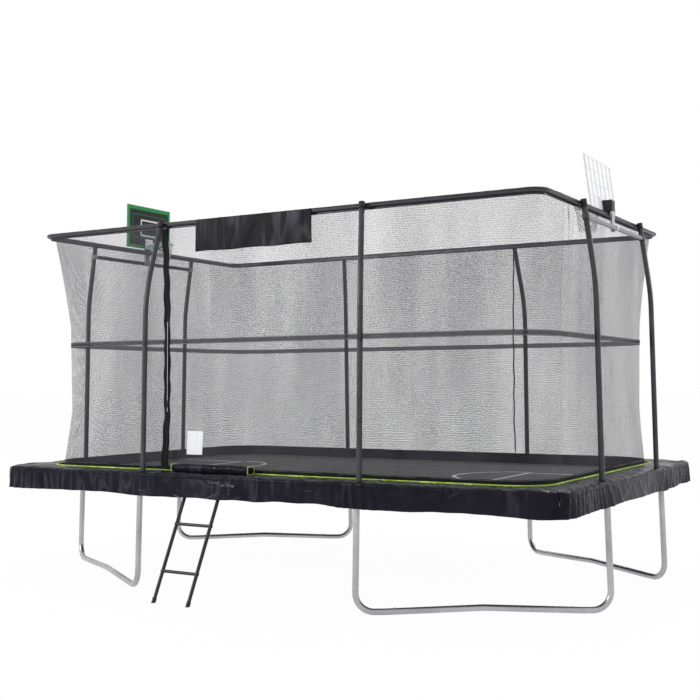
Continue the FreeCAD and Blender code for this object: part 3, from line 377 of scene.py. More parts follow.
def wovenFinish(name, dark, light, pitch, rough=0.75, depth=0.00025, sheen=0.04):
    # Plain weave on the piece's UV, in metres: warp and weft rise in turn.
    material, tree, shader = startFinish(name, Specular_IOR_Level=0.10)
    shader.inputs["Sheen Weight"].default_value = sheen
    shader.inputs["Sheen Roughness"].default_value = 0.45
    place = addNode(tree, "ShaderNodeTexCoord").outputs["UV"]
    split = addNode(tree, "ShaderNodeSeparateXYZ", {"Vector": place})
    turn = math.pi / pitch
    warp = mathOf(tree, "SINE", mathOf(tree, "MULTIPLY", split.outputs[0], turn))
    weft = mathOf(tree, "SINE", mathOf(tree, "MULTIPLY", split.outputs[1], turn))
    height = mathOf(tree, "MULTIPLY", warp, weft)
    thread = mapOf(tree, height, -1.0, 1.0, 0.0, 1.0)
    cloud = noiseAt(tree, place, 9.0, 5.0, 0.65)
    tone = mathOf(tree, "MULTIPLY_ADD", thread, 0.5, mathOf(tree, "MULTIPLY", cloud, 0.6))
    fuzz = noiseAt(tree, place, 1.2 / pitch, 3.0)
    connect(tree, shader, Base_Color=rampOf(tree, tone, (0.3, dark), (0.8, light)),
            Roughness=mapOf(tree, cloud, 0.3, 0.7, rough - 0.06, rough + 0.08),
            Normal=bumpOf(tree, fuzz, depth * 0.5, 0.5, bumpOf(tree, thread, depth, 0.7)))
    return material


def vinylFinish(name, dark, light, rough, crease=0.006):
    # Coated PVC: a few long slanted creases and a fine emboss over the modelled folds, with paler slanted
    # streaks painted into the colour as highlights on the creases.
    material, tree, shader = startFinish(name, Specular_IOR_Level=0.045)
    place = placeVector(tree)
    slanted = placeVector(tree, (3.2, 3.2, 6.0), (0.35, 0.6, 0.55))
    fold = noiseAt(tree, slanted, 1.0, 2.0, 0.45, 0.3)
    sharp = mapOf(tree, offMiddle(tree, fold), 0.0, 0.05, 1.0, 0.0)
    emboss = noiseAt(tree, place, 1500.0, 2.0)
    cloud = noiseAt(tree, place, 5.0, 4.0, 0.6)
    normal = bumpOf(tree, emboss, 0.00008, 0.4, bumpOf(tree, sharp, crease, 0.35))
    # Painted highlight: narrow paler slanted streaks in patches, mixed into the base colour where creases
    # catch the light.
    steep = noiseAt(tree, placeVector(tree, (13.0, 13.0, 3.0), (0.1, 0.75, 0.1)), 1.0, 1.0, 0.4)
    highlightStreak = mapOf(tree, offMiddle(tree, steep), 0.0, 0.085, 1.0, 0.0)
    highlightPatch = mapOf(tree, noiseAt(tree, placeVector(tree), 2.3, 2.0), 0.45, 0.60, 0.0, 1.0)
    paler = mathOf(tree, "MULTIPLY", highlightStreak, highlightPatch)
    plain = rampOf(tree, cloud, (0.3, dark), (0.7, light))
    highlightColour = (*[c * 3.2 + 0.022 for c in light], 1)
    base = mixOf(tree, mathOf(tree, "MULTIPLY", paler, 0.42), plain, highlightColour)
    roughness = mapOf(tree, cloud, 0.3, 0.7, rough - 0.05, rough + 0.08)
    connect(tree, shader, Base_Color=base, Roughness=roughness, Normal=normal)
    return material


def bannerFinish():
    # Smooth black cloth with a painted highlight: paler purple-grey colour along upright and slanted creases.
    material, tree, shader = startFinish("bannerCloth", Specular_IOR_Level=0.07)
    creaseHighlights = []
    for scale, turn, width in (((11.0, 1.0, 1.6), 0.15, 0.072), ((9.0, 1.0, 2.2), -0.45, 0.0624)):
        fold = noiseAt(tree, placeVector(tree, scale, (0, turn, 0)), 1.0, 1.5, 0.4)
        creaseHighlights.append(mapOf(tree, offMiddle(tree, fold), 0.0, width, 1.0, 0.0))
    crease = mathOf(tree, "MAXIMUM", creaseHighlights[0], creaseHighlights[1])
    highlightPatch = mapOf(tree, noiseAt(tree, placeVector(tree, (3.0, 1.0, 2.0)), 1.0, 2.0), 0.42, 0.66, 0.0, 0.8)
    # Painted highlight: the crease lines, in patches, lighten the colour towards purple-grey.
    tone = mathOf(tree, "MULTIPLY", crease, highlightPatch)
    grain = noiseAt(tree, placeVector(tree), 1200.0, 2.0)
    colour = rampOf(tree, tone, (0.0, (0.0045, 0.0040, 0.0055)), (1.0, (0.060, 0.055, 0.075)))
    connect(tree, shader, Base_Color=colour, Roughness=mapOf(tree, tone, 0.0, 1.0, 0.46, 0.36),
            Normal=bumpOf(tree, grain, 0.00008, 0.3, bumpOf(tree, tone, 0.003, 0.4)))
    return material


def crossbarFinish(name, left, right):
    # The colour follows the place along X. The crossbars are one dark coat, and the right one is given a
    # lighter grey as a painted highlight; the clamps are given a light grey on the left and a dark one on the
    # right.
    material, tree, shader = startFinish(name, Specular_IOR_Level=0.35)
    split = addNode(tree, "ShaderNodeSeparateXYZ", {"Vector": placeVector(tree)})
    side = mathOf(tree, "GREATER_THAN", split.outputs[0], 0.0)
    cloud = noiseAt(tree, placeVector(tree), 6.0, 4.0, 0.6)
    connect(tree, shader, Base_Color=rampOf(tree, side, (0.0, left), (1.0, right)),
            Roughness=mapOf(tree, cloud, 0.3, 0.7, 0.3, 0.4))
    return material


def printedFinish(name, dark, light, rough):
    # Printed film or paint with light wear.
    material, tree, shader = startFinish(name, Specular_IOR_Level=0.2)
    place = placeVector(tree)
    wear = noiseAt(tree, place, 55.0, 6.0, 0.7)
    connect(tree, shader, Base_Color=rampOf(tree, wear, (0.25, dark), (0.6, light)),
            Roughness=mapOf(tree, wear, 0.3, 0.7, rough, rough + 0.12),
            Normal=bumpOf(tree, noiseAt(tree, place, 420.0, 3.0), 0.0001, 0.35))
    return material


finishes = {
    "galvanised_steel": galvanisedFinish(),
    "zinc_hardware": zincFinish(),
    "black_tube": powderFinish("charcoalTube", (0.030, 0.028, 0.036), (0.052, 0.049, 0.061), 0.31),
    "grey_tube": powderFinish("greyTube", (0.34, 0.34, 0.36), (0.46, 0.46, 0.48), 0.36),
    "black_plastic": mouldedFinish("blackMoulding", (0.008, 0.008, 0.010), (0.018, 0.018, 0.021), 0.42),
    "net_mesh": netFinish("knittedNet", 0.09),
    "black_webbing": wovenFinish("blackWebbing", (0.004, 0.004, 0.005), (0.015, 0.014, 0.017), 0.0016, 0.72),
    "mat_weave": wovenFinish("matCloth", (0.010, 0.010, 0.012), (0.032, 0.032, 0.036), 0.0024,
                             0.55, 0.0004, 0.10),
    "pad_vinyl": vinylFinish("padVinyl", (0.0080, 0.0072, 0.0118), (0.0160, 0.0146, 0.0225), 0.23),
    "green_piping": vinylFinish("limePiping", (0.31, 0.50, 0.05), (0.43, 0.64, 0.09), 0.36, 0.0008),
    "banner_cloth": bannerFinish(),
    "white_card": printedFinish("whiteCard", (0.70, 0.70, 0.71), (0.84, 0.84, 0.85), 0.35),
    "board_dark": mouldedFinish("paleBoard", (0.88, 0.88, 0.90), (0.94, 0.94, 0.96), 0.38),
    "board_light": mouldedFinish("palerBoard", (0.91, 0.91, 0.92), (0.96, 0.96, 0.97), 0.36),
    "hoop_steel": powderFinish("whiteCoat", (0.66, 0.66, 0.67), (0.80, 0.80, 0.81), 0.3),
    "hoop_cord": wovenFinish("whiteCord", (0.58, 0.58, 0.58), (0.82, 0.82, 0.82), 0.0012, 0.7),
}
boardFilm = printedFinish("blackFilm", (0.005, 0.006, 0.006), (0.012, 0.013, 0.013), 0.24)
boardGreen = printedFinish("greenFilm", (0.004, 0.20, 0.040), (0.008, 0.28, 0.055), 0.28)
boardWhite = printedFinish("whiteFilm", (0.62, 0.62, 0.62), (0.80, 0.80, 0.80), 0.3)
linePaint = printedFinish("courtPaint", (0.42, 0.42, 0.43), (0.74, 0.74, 0.75), 0.5)
threadFinish = wovenFinish("blackThread", (0.010, 0.010, 0.012), (0.045, 0.044, 0.05), 0.0008, 0.6)
seamThread = wovenFinish("greyThread", (0.16, 0.16, 0.17), (0.28, 0.28, 0.30), 0.0008, 0.6)
wrinkledNet = netFinish("wrinkledNet", 0.60)
strapTape = wovenFinish("netTape", (0.035, 0.034, 0.040), (0.080, 0.078, 0.090), 0.0016, 0.8)
tapeCover = 0.64  # the strap's thin tape lets some light through
strapTape.node_tree.nodes["Principled BSDF"].inputs["Alpha"].default_value = tapeCover
sleeveCloth = mouldedFinish("sleeveCloth", (0.014, 0.013, 0.016), (0.030, 0.028, 0.034), 0.34)
blackCoat = powderFinish("blackCoat", (0.008, 0.008, 0.009), (0.015, 0.015, 0.017), 0.3)

for node in frame["nodes"].values():
    for place in node.material_slots:
        slotName = place.material.name.split(".")[0]
        if slotName in finishes:
            place.material = finishes[slotName]
ownFinishes = {
    # Right crossbar lighter: painted highlight on the same dark tube.
    "crossbars": crossbarFinish("crossbarCoatLitRight", (0.016, 0.015, 0.018), (0.22, 0.22, 0.24)),
    "crossbar_clamps": crossbarFinish("clampCoat", (0.40, 0.40, 0.42), (0.05, 0.05, 0.055)),
    "ladder_rails": blackCoat,
    "ladder_rungs": blackCoat,
    "zip_slider": finishes["black_plastic"],
}
for nodeName, finish in ownFinishes.items():
    for place in frame["nodes"][nodeName].material_slots:
        place.material = finish
print("finishes made")

# Helpers that make meshes


def linkMesh(name, mesh):
    obj = bpy.data.objects.new(name, mesh)
    bpy.context.scene.collection.objects.link(obj)
    return obj


def meshFrom(name, bm):
    # Moves a bmesh to a new object.
    mesh = bpy.data.meshes.new(name)
    bm.to_mesh(mesh)
    bm.free()
    return linkMesh(name, mesh)


def gridPiece(name, columns, rows, place, uv, closedColumns=False, closedRows=False):
    # A quad surface from place(i, j), with UVs from uv(i, j).
    countI = columns if closedColumns else columns + 1
    countJ = rows if closedRows else rows + 1
    vertices = [place(i, j) for i in range(countI) for j in range(countJ)]
    faces = []
    corners = []
    for i in range(columns):
        for j in range(rows):
            quad = ((i, j), (i + 1, j), (i + 1, j + 1), (i, j + 1))
            faces.append([(a % countI) * countJ + b % countJ for a, b in quad])
            for a, b in quad:
                corners.extend(uv(a, b))
    mesh = bpy.data.meshes.new(name)
    mesh.from_pydata(vertices, [], faces)
    mesh.uv_layers.new(name="UVMap").data.foreach_set("uv", corners)
    mesh.shade_smooth()
    return linkMesh(name, mesh)


def turnOutwards(obj, capped=False):
    # Turns all faces outwards, and first caps open tube ends where asked.
    bm = bmesh.new()
    bm.from_mesh(obj.data)
    if capped:
        bmesh.ops.holes_fill(bm, edges=[e for e in bm.edges if e.is_boundary], sides=0)
    bmesh.ops.recalc_face_normals(bm, faces=bm.faces)
    bm.to_mesh(obj.data)
    bm.free()
    return obj


def faceAway(obj, centre):
    # Turns a single sheet so that its faces look away from the centre.
    centre = Vector(centre)
    lean = sum((p.center - centre).dot(p.normal) * p.area for p in obj.data.polygons)
    if lean < 0:
        obj.data.flip_normals()
    return obj


def thicken(obj, thickness, offset=0.0):
    modifier = obj.modifiers.new("thickness", "SOLIDIFY")
    modifier.thickness = thickness
    modifier.offset = offset
    return obj


def bake(obj):
    # Applies all modifiers by taking the evaluated mesh.
    graph = bpy.context.evaluated_depsgraph_get()
    mesh = bpy.data.meshes.new_from_object(obj.evaluated_get(graph))
    old = obj.data
    obj.modifiers.clear()
    obj.data = mesh
    bpy.data.meshes.remove(old)
    return obj


def joinPieces(name, objects):
    bm = bmesh.new()
    bm.loops.layers.uv.new("UVMap")
    for obj in objects:
        bm.from_mesh(obj.data)
        bpy.data.objects.remove(obj)
    return meshFrom(name, bm)


def tubePiece(name, points, radius, sides=8, closed=False, ripple=None):
    # A tube along given points, with its frame carried along the path.
    count = len(points)
    points = [Vector(p) for p in points]
    tangents = []
    for i in range(count):
        before = points[(i - 1) % count] if closed or i else points[0]
        after = points[(i + 1) % count] if closed or i < count - 1 else points[-1]
        tangents.append((after - before).normalized())
    guide = Vector((0, 0, 1)) if abs(tangents[0].z) < 0.9 else Vector((1, 0, 0))
    across = (guide - tangents[0] * guide.dot(tangents[0])).normalized()
    frames = []
    for tangent in tangents:
        across = (across - tangent * across.dot(tangent)).normalized()
        frames.append((across, tangent.cross(across)))
    travelled = [0.0]
    for i in range(count):
        travelled.append(travelled[-1] + (points[(i + 1) % count] - points[i]).length)
    around = 2 * math.pi * radius

    def place(i, j):
        angle = 2 * math.pi * j / sides
        r = radius * (ripple(travelled[i], angle) if ripple else 1.0)
        a, b = frames[i]
        return points[i] + (a * math.cos(angle) + b * math.sin(angle)) * r

    def flat(i, j):
        return travelled[i], around * j / sides

    columns = count if closed else count - 1
    return turnOutwards(gridPiece(name, columns, sides, place, flat, closed, True), capped=True)


def finishPiece(obj, body, finish, nodes=(), slot=None):
    if finish is not None:
        obj.data.materials.clear()
        obj.data.materials.append(finish)
    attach(obj, body)
    if nodes:
        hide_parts(*nodes)
    return obj


# Outward angle, first corner and second corner of each side, going round anticlockwise from above
sideEnds = {
    "front": (-90, (-1, -1), (1, -1)),
    "right": (0, (1, -1), (1, 1)),
    "back": (90, (1, 1), (-1, 1)),
    "left": (180, (-1, 1), (-1, -1)),
}
sideNames = ("front", "back", "left", "right")
signPairs = [(sx, sy) for sx in (-1, 1) for sy in (-1, 1)]


def sidePath(halfX, halfY, radius, side, straightSteps, cornerSteps):
    # A side on the ground plan, from one corner's middle to the next: (point, outward, distance).
    middle, first, second = sideEnds[side]
    result = []

    def arc(corner, start, end, skipped):
        cx, cy = corner[0] * (halfX - radius), corner[1] * (halfY - radius)
        for k in range(skipped, cornerSteps + 1):
            a = math.radians(start + (end - start) * k / cornerSteps)
            out = Vector((math.cos(a), math.sin(a), 0))
            result.append((Vector((cx, cy, 0)) + out * radius, out))

    arc(first, middle - 45, middle, 0)
    startPoint = result[-1][0]
    outward = Vector((math.cos(math.radians(middle)), math.sin(math.radians(middle)), 0))
    endPoint = Vector((second[0] * (halfX - radius), second[1] * (halfY - radius), 0)) + outward * radius
    for k in range(1, straightSteps + 1):
        result.append((startPoint.lerp(endPoint, k / straightSteps), outward))
    arc(second, middle, middle + 45, 1)
    travelled = 0.0
    full = []
    for i, (point, out) in enumerate(result):
        if i:
            travelled += (point - result[i - 1][0]).length
        full.append((point, out, travelled))
    return full


def chainSides(parts):
    # Side paths in a row, joined at the corners' middles.
    result = []
    travelled = 0.0
    for part in parts:
        for point, out, distance in part[(1 if result else 0):]:
            result.append((point, out, travelled + distance))
        travelled += part[-1][2]
    return result


def ringPath(halfX, halfY, radius, longSteps, cornerSteps):
    # All four sides, with fewer steps on the short ones.
    shortSteps = max(4, round(longSteps * 0.62))
    steps = {"front": longSteps, "right": shortSteps, "back": longSteps, "left": shortSteps}
    return chainSides([sidePath(halfX, halfY, radius, side, steps[side], cornerSteps) for side in steps])


def circle(steps):
    # Cosine and sine of evenly spaced angles, once round.
    turns = [2 * math.pi * k / steps for k in range(steps)]
    return [(math.cos(a), math.sin(a)) for a in turns]


def at(point, z, out=None, offset=0.0):
    # A plan point from the mat's middle, lifted to z and moved outwards, in the part's frame.
    result = Vector((point.x, point.y + shiftY, z))
    if out is not None:
        result += out * offset
    return result


def waves(*values):
    return noise.noise(Vector(values))


def buildRepeatTree():
    # Sets copies of a small piece along a path, turned to the path and to the facing attribute.
    tree = bpy.data.node_groups.new("repeatAlongPath", "GeometryNodeTree")
    sockets = tree.interface
    kinds = {"Geometry": "Geometry", "count": "Int", "unit": "Object", "finish": "Material"}
    for name, kind in kinds.items():
        sockets.new_socket(name=name, in_out="INPUT", socket_type="NodeSocket" + kind)
    sockets.new_socket(name="Geometry", in_out="OUTPUT", socket_type="NodeSocketGeometry")
    start = addNode(tree, "NodeGroupInput").outputs
    curve = addNode(tree, "GeometryNodeMeshToCurve", {"Mesh": start["Geometry"]}).outputs["Curve"]
    spaced = addNode(tree, "GeometryNodeResampleCurve", {"Curve": curve, "Count": start["count"]})
    tangent = addNode(tree, "GeometryNodeInputTangent").outputs["Tangent"]
    facing = addNode(tree, "GeometryNodeInputNamedAttribute", {"Name": "facing"},
                     data_type="FLOAT_VECTOR").outputs["Attribute"]
    align = "FunctionNodeAlignRotationToVector"
    turned = addNode(tree, align, {"Vector": facing}, axis="Z").outputs[0]
    values = {"Rotation": turned, "Vector": tangent}
    turned = addNode(tree, align, values, axis="X", pivot_axis="Z").outputs[0]
    unit = addNode(tree, "GeometryNodeObjectInfo", {"Object": start["unit"]}).outputs["Geometry"]
    copies = addNode(tree, "GeometryNodeInstanceOnPoints",
                     {"Points": spaced.outputs["Curve"], "Instance": unit, "Rotation": turned})
    real = addNode(tree, "GeometryNodeRealizeInstances", {"Geometry": copies.outputs["Instances"]})
    values = {"Geometry": real.outputs[0], "Material": start["finish"]}
    painted = addNode(tree, "GeometryNodeSetMaterial", values)
    addNode(tree, "NodeGroupOutput", {"Geometry": painted.outputs[0]})
    return tree


repeatTree = buildRepeatTree()


def repeatAlong(name, points, facings, count, unit, finish, closed=False):
    mesh = bpy.data.meshes.new(name)
    total = len(points)
    edges = [(i, i + 1) for i in range(total - 1)] + ([(total - 1, 0)] if closed else [])
    mesh.from_pydata(points, edges, [])
    layer = mesh.attributes.new("facing", "FLOAT_VECTOR", "POINT")
    layer.data.foreach_set("vector", [c for f in facings for c in f])
    obj = linkMesh(name, mesh)
    modifier = obj.modifiers.new("repeat", "NODES")
    modifier.node_group = repeatTree
    keys = {i.name: i.identifier for i in repeatTree.interface.items_tree if i.in_out == "INPUT"}
    for key, value in (("count", count), ("unit", unit), ("finish", finish)):
        modifier[keys[key]] = value
    bake(obj)
    if "facing" in obj.data.attributes:
        obj.data.attributes.remove(obj.data.attributes["facing"])
    return obj


def blockUnit(name, length, width, height):
    # A small low pillow: along X, across Y, facing Z.
    rings = ((-0.5, 0.55, 0.0), (-0.36, 1.0, 1.0), (0.36, 1.0, 1.0), (0.5, 0.55, 0.0))
    vertices = []
    for x, wide, tall in rings:
        for y, z in ((-0.5, 0.0), (-0.32, 1.0), (0.32, 1.0), (0.5, 0.0)):
            vertices.append((x * length, y * width * wide, z * height * max(tall, 0.15)))
    faces = []
    for i in range(3):
        for j in range(4):
            a, b = i * 4 + j, i * 4 + (j + 1) % 4
            faces.append((a, b, b + 4, a + 4))
    faces += [(3, 2, 1, 0), (12, 13, 14, 15)]
    mesh = bpy.data.meshes.new(name)
    mesh.from_pydata(vertices, [], faces)
    mesh.shade_smooth()
    return turnOutwards(linkMesh(name, mesh))


def ringUnit(name, radius, wire):
    # A small ring that lies flat.
    points = [(radius * c, radius * d, wire * 0.6) for c, d in circle(12)]
    return tubePiece(name, points, wire, 6, closed=True)


stitchUnit = blockUnit("stitchUnit", 0.0046, 0.0013, 0.0006)
eyeletUnit = ringUnit("eyeletUnit", 0.0065, 0.0016)


def stitchRow(ring, z, pitch, finish, upward=True):
    # Stitches along a closed plan path, facing up or outwards.
    facings = [Vector((0, 0, 1)) if upward else out for point, out, distance in ring]
    points = [at(point, z) for point, out, distance in ring]
    count = int(ring[-1][2] / pitch)
    return repeatAlong("stitchRow", points, facings, count, stitchUnit, finish, closed=True)

# Net

entranceX = -0.872
ringSetup = {
    "tube": 0.014,
    "corner": 0.105,
    "netInset": 0.0173,  # from the ring's axis to the net's inner face
}
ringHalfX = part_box("ring_short_tubes")[1].x - ringSetup["tube"]
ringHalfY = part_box("ring_long_tubes")[1].y - ringSetup["tube"] - shiftY
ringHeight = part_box("ring_long_tubes")[1].z - ringSetup["tube"]
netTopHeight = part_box("net_front")[1].z
netSetup = {
    "waistHeight": 1.600,
    "waist": (2.062, 1.235, 0.450),  # half length, half depth, corner radius
    "bottom": (2.073, 1.279, 0.300),
    "top": (ringHalfX - ringSetup["netInset"], ringHalfY - ringSetup["netInset"], 0.170),
    "bottomHeight": 0.7924,
    "topHeight": netTopHeight,
    "levels": (0.7924, 0.8804, 0.962, 1.145, 1.280, 1.950, 1.950 + (netTopHeight - 1.950) / 3,
               1.950 + (netTopHeight - 1.950) * 2 / 3, netTopHeight),
    "wall": 0.001,
    "columnWidth": 0.03,
    "rowHeight": 0.045,
    "foldDepth": 0.0045,
    "flatBesideEntrance": 0.09,
    "strapHeight": 1.800,
    "insideHeight": 1.7,
}
bandSetup = {
    "hem": (0.7926, 0.8802),
    "hemMiddle": 0.83,
    "hemRipple": 0.0008,
    "strap": (1.781, 1.819),
    "offset": 0.0022,
    "thickness": 0.0014,
    "columns": 150,
    "cornerColumns": 16,
    "stitchHeights": (0.8750, 1.7845, 1.8155),
    "stitchOffset": 0.0030,
    "stitchPitch": 0.0075,
}
sleeveSetup = {
    "reach": 0.0152,
    "hang": 0.028,
    "lift": 0.0006,
    "puff": 0.0012,
    "thickness": 0.0012,
}
seamSetup = {
    "centre": 0.883,
    "width": 0.012,
    "bottom": 0.90,
    "top": ringHeight - 0.03,
    "lift": 0.0030,
    "thickness": 0.0012,
    "rows": 120,
}


def netHalf(z):
    s = netSetup
    if z > s["waistHeight"]:
        t = (z - s["waistHeight"]) / (s["topHeight"] - s["waistHeight"])
        end = s["top"]
    else:
        t = (s["waistHeight"] - z) / (s["waistHeight"] - s["bottomHeight"])
        end = s["bottom"]
    waist = s["waist"]
    return (waist[0] + (end[0] - waist[0]) * t * t, waist[1] + (end[1] - waist[1]) * t * t,
            waist[2] + (end[2] - waist[2]) * t)


netStraight = [min(netHalf(z)[k] - netHalf(z)[2] for z in netSetup["levels"]) for k in (0, 1)]


def netOutline(z):
    # Straight between the levels, as the panels are sewn.
    levels = netSetup["levels"]
    z = min(max(z, levels[0]), levels[-1])
    for low, high in zip(levels[:-1], levels[1:]):
        if z <= high:
            t = (z - low) / (high - low)
            return [a + (b - a) * t for a, b in zip(netHalf(low), netHalf(high))]
    return netHalf(levels[-1])


def netFront(z, offset=0.0):
    # Outer face of the front panel.
    return -netOutline(z)[1] - netSetup["wall"] - offset + shiftY


def netRing(z, offset, straightSteps, cornerSteps):
    x, y, r = netOutline(z)
    return ringPath(x + offset, y + offset, r + offset, straightSteps, cornerSteps)


def netCalm(z):
    # 0 where a band is sewn on, 1 where the net hangs free.
    s = netSetup
    calm = 1.0
    for centre, half in ((s["bottomHeight"], 0.11), (s["strapHeight"], 0.05), (s["topHeight"], 0.03)):
        calm *= min(1.0, max(0.0, (abs(z - centre) - half) / 0.10))
    return calm


def netHeights():
    # Rows of the net's grids, with all levels among them.
    levels = netSetup["levels"]
    heights = []
    for low, high in zip(levels[:-1], levels[1:]):
        steps = max(2, round((high - low) / netSetup["rowHeight"]))
        heights += [low + (high - low) * k / steps for k in range(steps)]
    return heights + [levels[-1]]


def makeNetPanel(name, node, side):
    s = netSetup
    heights = netHeights()
    longSide = side in ("front", "back")
    half = netStraight[0 if longSide else 1]
    wide = 2 * half
    columns = round(wide / s["columnWidth"])
    sign = -1 if side in ("front", "left") else 1
    seed = 3.0 * sign + (5 if longSide else 0)
    k = 1 if longSide else 0
    travelled = [0.0]
    for low, high in zip(heights[:-1], heights[1:]):
        travelled.append(travelled[-1] + math.hypot(high - low, netOutline(high)[k] - netOutline(low)[k]))

    def place(i, j):
        along = -half + wide * i / columns
        z = heights[j]
        inward = netCalm(z) * s["foldDepth"] * (0.5 + waves(along * 7.0, z * 0.8, seed))
        if side == "front" and abs(along - entranceX) < s["flatBesideEntrance"]:
            inward = 0.0
        across = sign * (netOutline(z)[k] + s["wall"] / 2 - max(0.0, inward))
        if longSide:
            return Vector((along, across + shiftY, z))
        return Vector((across, along + shiftY, z))

    obj = gridPiece(name, columns, len(heights) - 1, place, lambda i, j: (wide * i / columns, travelled[j]))
    faceAway(obj, (0, shiftY, s["insideHeight"]))
    finishPiece(obj, "frame", finishes["net_mesh"], [node], "net_mesh")
    return obj, (wide, travelled[-1])


def makeNetCorners():
    s = netSetup
    heights = netHeights()
    arcSteps = 14
    flats = 3
    columns = arcSteps + 2 * flats
    depth = s["wall"] / 2
    parts = []
    for sx, sy in signPairs:

        def place(i, j):
            x, y, r = netOutline(heights[j])
            cx, cy = x - r, y - r
            if i < flats:
                t = i / flats
                point = Vector((netStraight[0] + (cx - netStraight[0]) * t, y + depth, 0))
            elif i > flats + arcSteps:
                t = (i - flats - arcSteps) / flats
                point = Vector((x + depth, cy + (netStraight[1] - cy) * t, 0))
            else:
                a = math.pi / 2 * (1 - (i - flats) / arcSteps)
                point = Vector((cx + (r + depth) * math.cos(a), cy + (r + depth) * math.sin(a), 0))
            return Vector((sx * point.x, sy * point.y + shiftY, heights[j]))

        part = gridPiece("cornerPart", columns, len(heights) - 1, place,
                         lambda i, j: (s["columnWidth"] * i, heights[j]))
        parts.append(faceAway(part, (sx * 1.5, sy * 0.7 + shiftY, s["insideHeight"])))
    obj = joinPieces("netCorners", parts)
    area = sum(p.area for p in obj.data.polygons)
    finishPiece(obj, "frame", finishes["net_mesh"], ["net_corners"], "net_mesh")
    return obj, area, heights[-1] - heights[0]


def makeBand(name, low, high, rows, node, ripple=0.0):
    # A sewn band right round the net.
    s = bandSetup
    levels = [low + (high - low) * j / rows for j in range(rows + 1)]
    rings = [netRing(z, s["offset"], s["columns"], s["cornerColumns"]) for z in levels]
    columns = len(rings[0]) - 1

    def place(i, j):
        point, out, distance = rings[j][i % columns]
        push = ripple * (0.5 + waves(distance * 5.0, levels[j] * 20.0, 2.0))
        return at(point, levels[j], out, push)

    def flat(i, j):
        return rings[j][min(i, columns)][2], (high - low) * j / rows

    obj = gridPiece(name, columns, rows, place, flat, closedColumns=True)
    faceAway(obj, (0, shiftY, (low + high) / 2))
    thicken(obj, s["thickness"])
    return finishPiece(obj, "frame", finishes["black_webbing"], [node], "black_webbing")


def makeBandStitches():
    s = bandSetup
    rings = [(netRing(z, s["stitchOffset"], 90, 12)[:-1], z) for z in s["stitchHeights"]]
    rows = [stitchRow(ring, z, s["stitchPitch"], seamThread, upward=False) for ring, z in rings]
    finishPiece(joinPieces("netStitches", rows), "frame", None, slot="black_webbing")


def makeSleeve():
    # Cloth tunnel: from the net's top edge up the inside and over the ring.
    s = sleeveSetup
    profile = [(-s["reach"], -s["hang"] + s["hang"] * k / 5) for k in range(5)]
    for k in range(13):
        a = math.pi - math.pi * k / 12
        profile.append((s["reach"] * math.cos(a), s["reach"] * math.sin(a) + s["lift"]))
    ring = ringPath(ringHalfX, ringHalfY, ringSetup["corner"], 220, 14)
    columns = len(ring) - 1
    lengths = [0.0]
    for a, b in zip(profile[:-1], profile[1:]):
        lengths.append(lengths[-1] + math.dist(a, b))

    def place(i, j):
        point, out, distance = ring[i % columns]
        across, rise = profile[j]
        puff = s["puff"] * max(0.0, 0.3 + waves(distance * 16.0, j * 0.35, 8.0))
        scale = 1 + puff / s["reach"]
        return at(point, ringHeight + rise * (scale if rise > 0 else 1), out, across * scale)

    obj = gridPiece("netSleeve", columns, len(profile) - 1, place,
                    lambda i, j: (ring[min(i, columns)][2], lengths[j]), closedColumns=True)
    turnOutwards(faceAway(obj, (0, shiftY, ringHeight)))
    thicken(obj, s["thickness"])
    finishPiece(obj, "frame", sleeveCloth, ["net_sleeve"], "black_webbing")
    return obj, (ring[-1][2], lengths[-1])


def declareBand(height, limits):
    flat = (netRing(height, 0, 40, 8)[-1][2], round(limits[1] - limits[0], 4))


netParts = [makeNetPanel("net" + side.capitalize(), "net_" + side, side) for side in sideNames]
netCorners, cornerArea, cornerTall = makeNetCorners()
netParts[3][0].data.materials[0] = wrinkledNet
hem = makeBand("netHem", *bandSetup["hem"], 6, "net_hem", bandSetup["hemRipple"])
strap = makeBand("netStrap", *bandSetup["strap"], 3, "net_strap")
strap.data.materials[0] = strapTape
sleeve, sleeveFlat = makeSleeve()
makeBandStitches()
declareBand(bandSetup["hemMiddle"], bandSetup["hem"])
declareBand(netSetup["strapHeight"], bandSetup["strap"])


def makeBackSeam():
    # Dark tape down the back panel, a little wavy.
    s = seamSetup
    tall = s["top"] - s["bottom"]

    def place(i, j):
        z = s["bottom"] + tall * j / s["rows"]
        x = s["centre"] + 0.006 * waves(z * 2.2, 4.0, 1.0) + 0.0025 * math.sin(z * 26.0)
        lift = s["lift"] + 0.0015 * waves(z * 9.0, 1.0, 2.0)
        return Vector((x + (i / 2 - 0.5) * s["width"], netOutline(z)[1] + lift + shiftY, z))

    obj = gridPiece("backSeam", 2, s["rows"], place, lambda i, j: (s["width"] * i / 2, tall * j / s["rows"]))
    faceAway(obj, (s["centre"], shiftY, netSetup["insideHeight"]))
    thicken(obj, s["thickness"])
    finishPiece(obj, "frame", finishes["black_webbing"], slot="black_webbing")


makeBackSeam()
print("net made")

# Upper poles, with their bend eased over a longer stretch

poleSetup = {
    "railX": 2.261,
    "railY": 1.467,
    "long": 0.912,
    "short": 0.650,
    "foot": 0.8150,
    "seam": 1.760,
    "bend": 2.150,
    "top": 2.685,
    "lean": 1.2,
    "insetLong": 0.141,
    "insetShort": 0.106,
    "shiftLong": 0.051,
    "bendRadius": 1.8,
    "radius": 0.019,
    "arcSteps": 18,
}


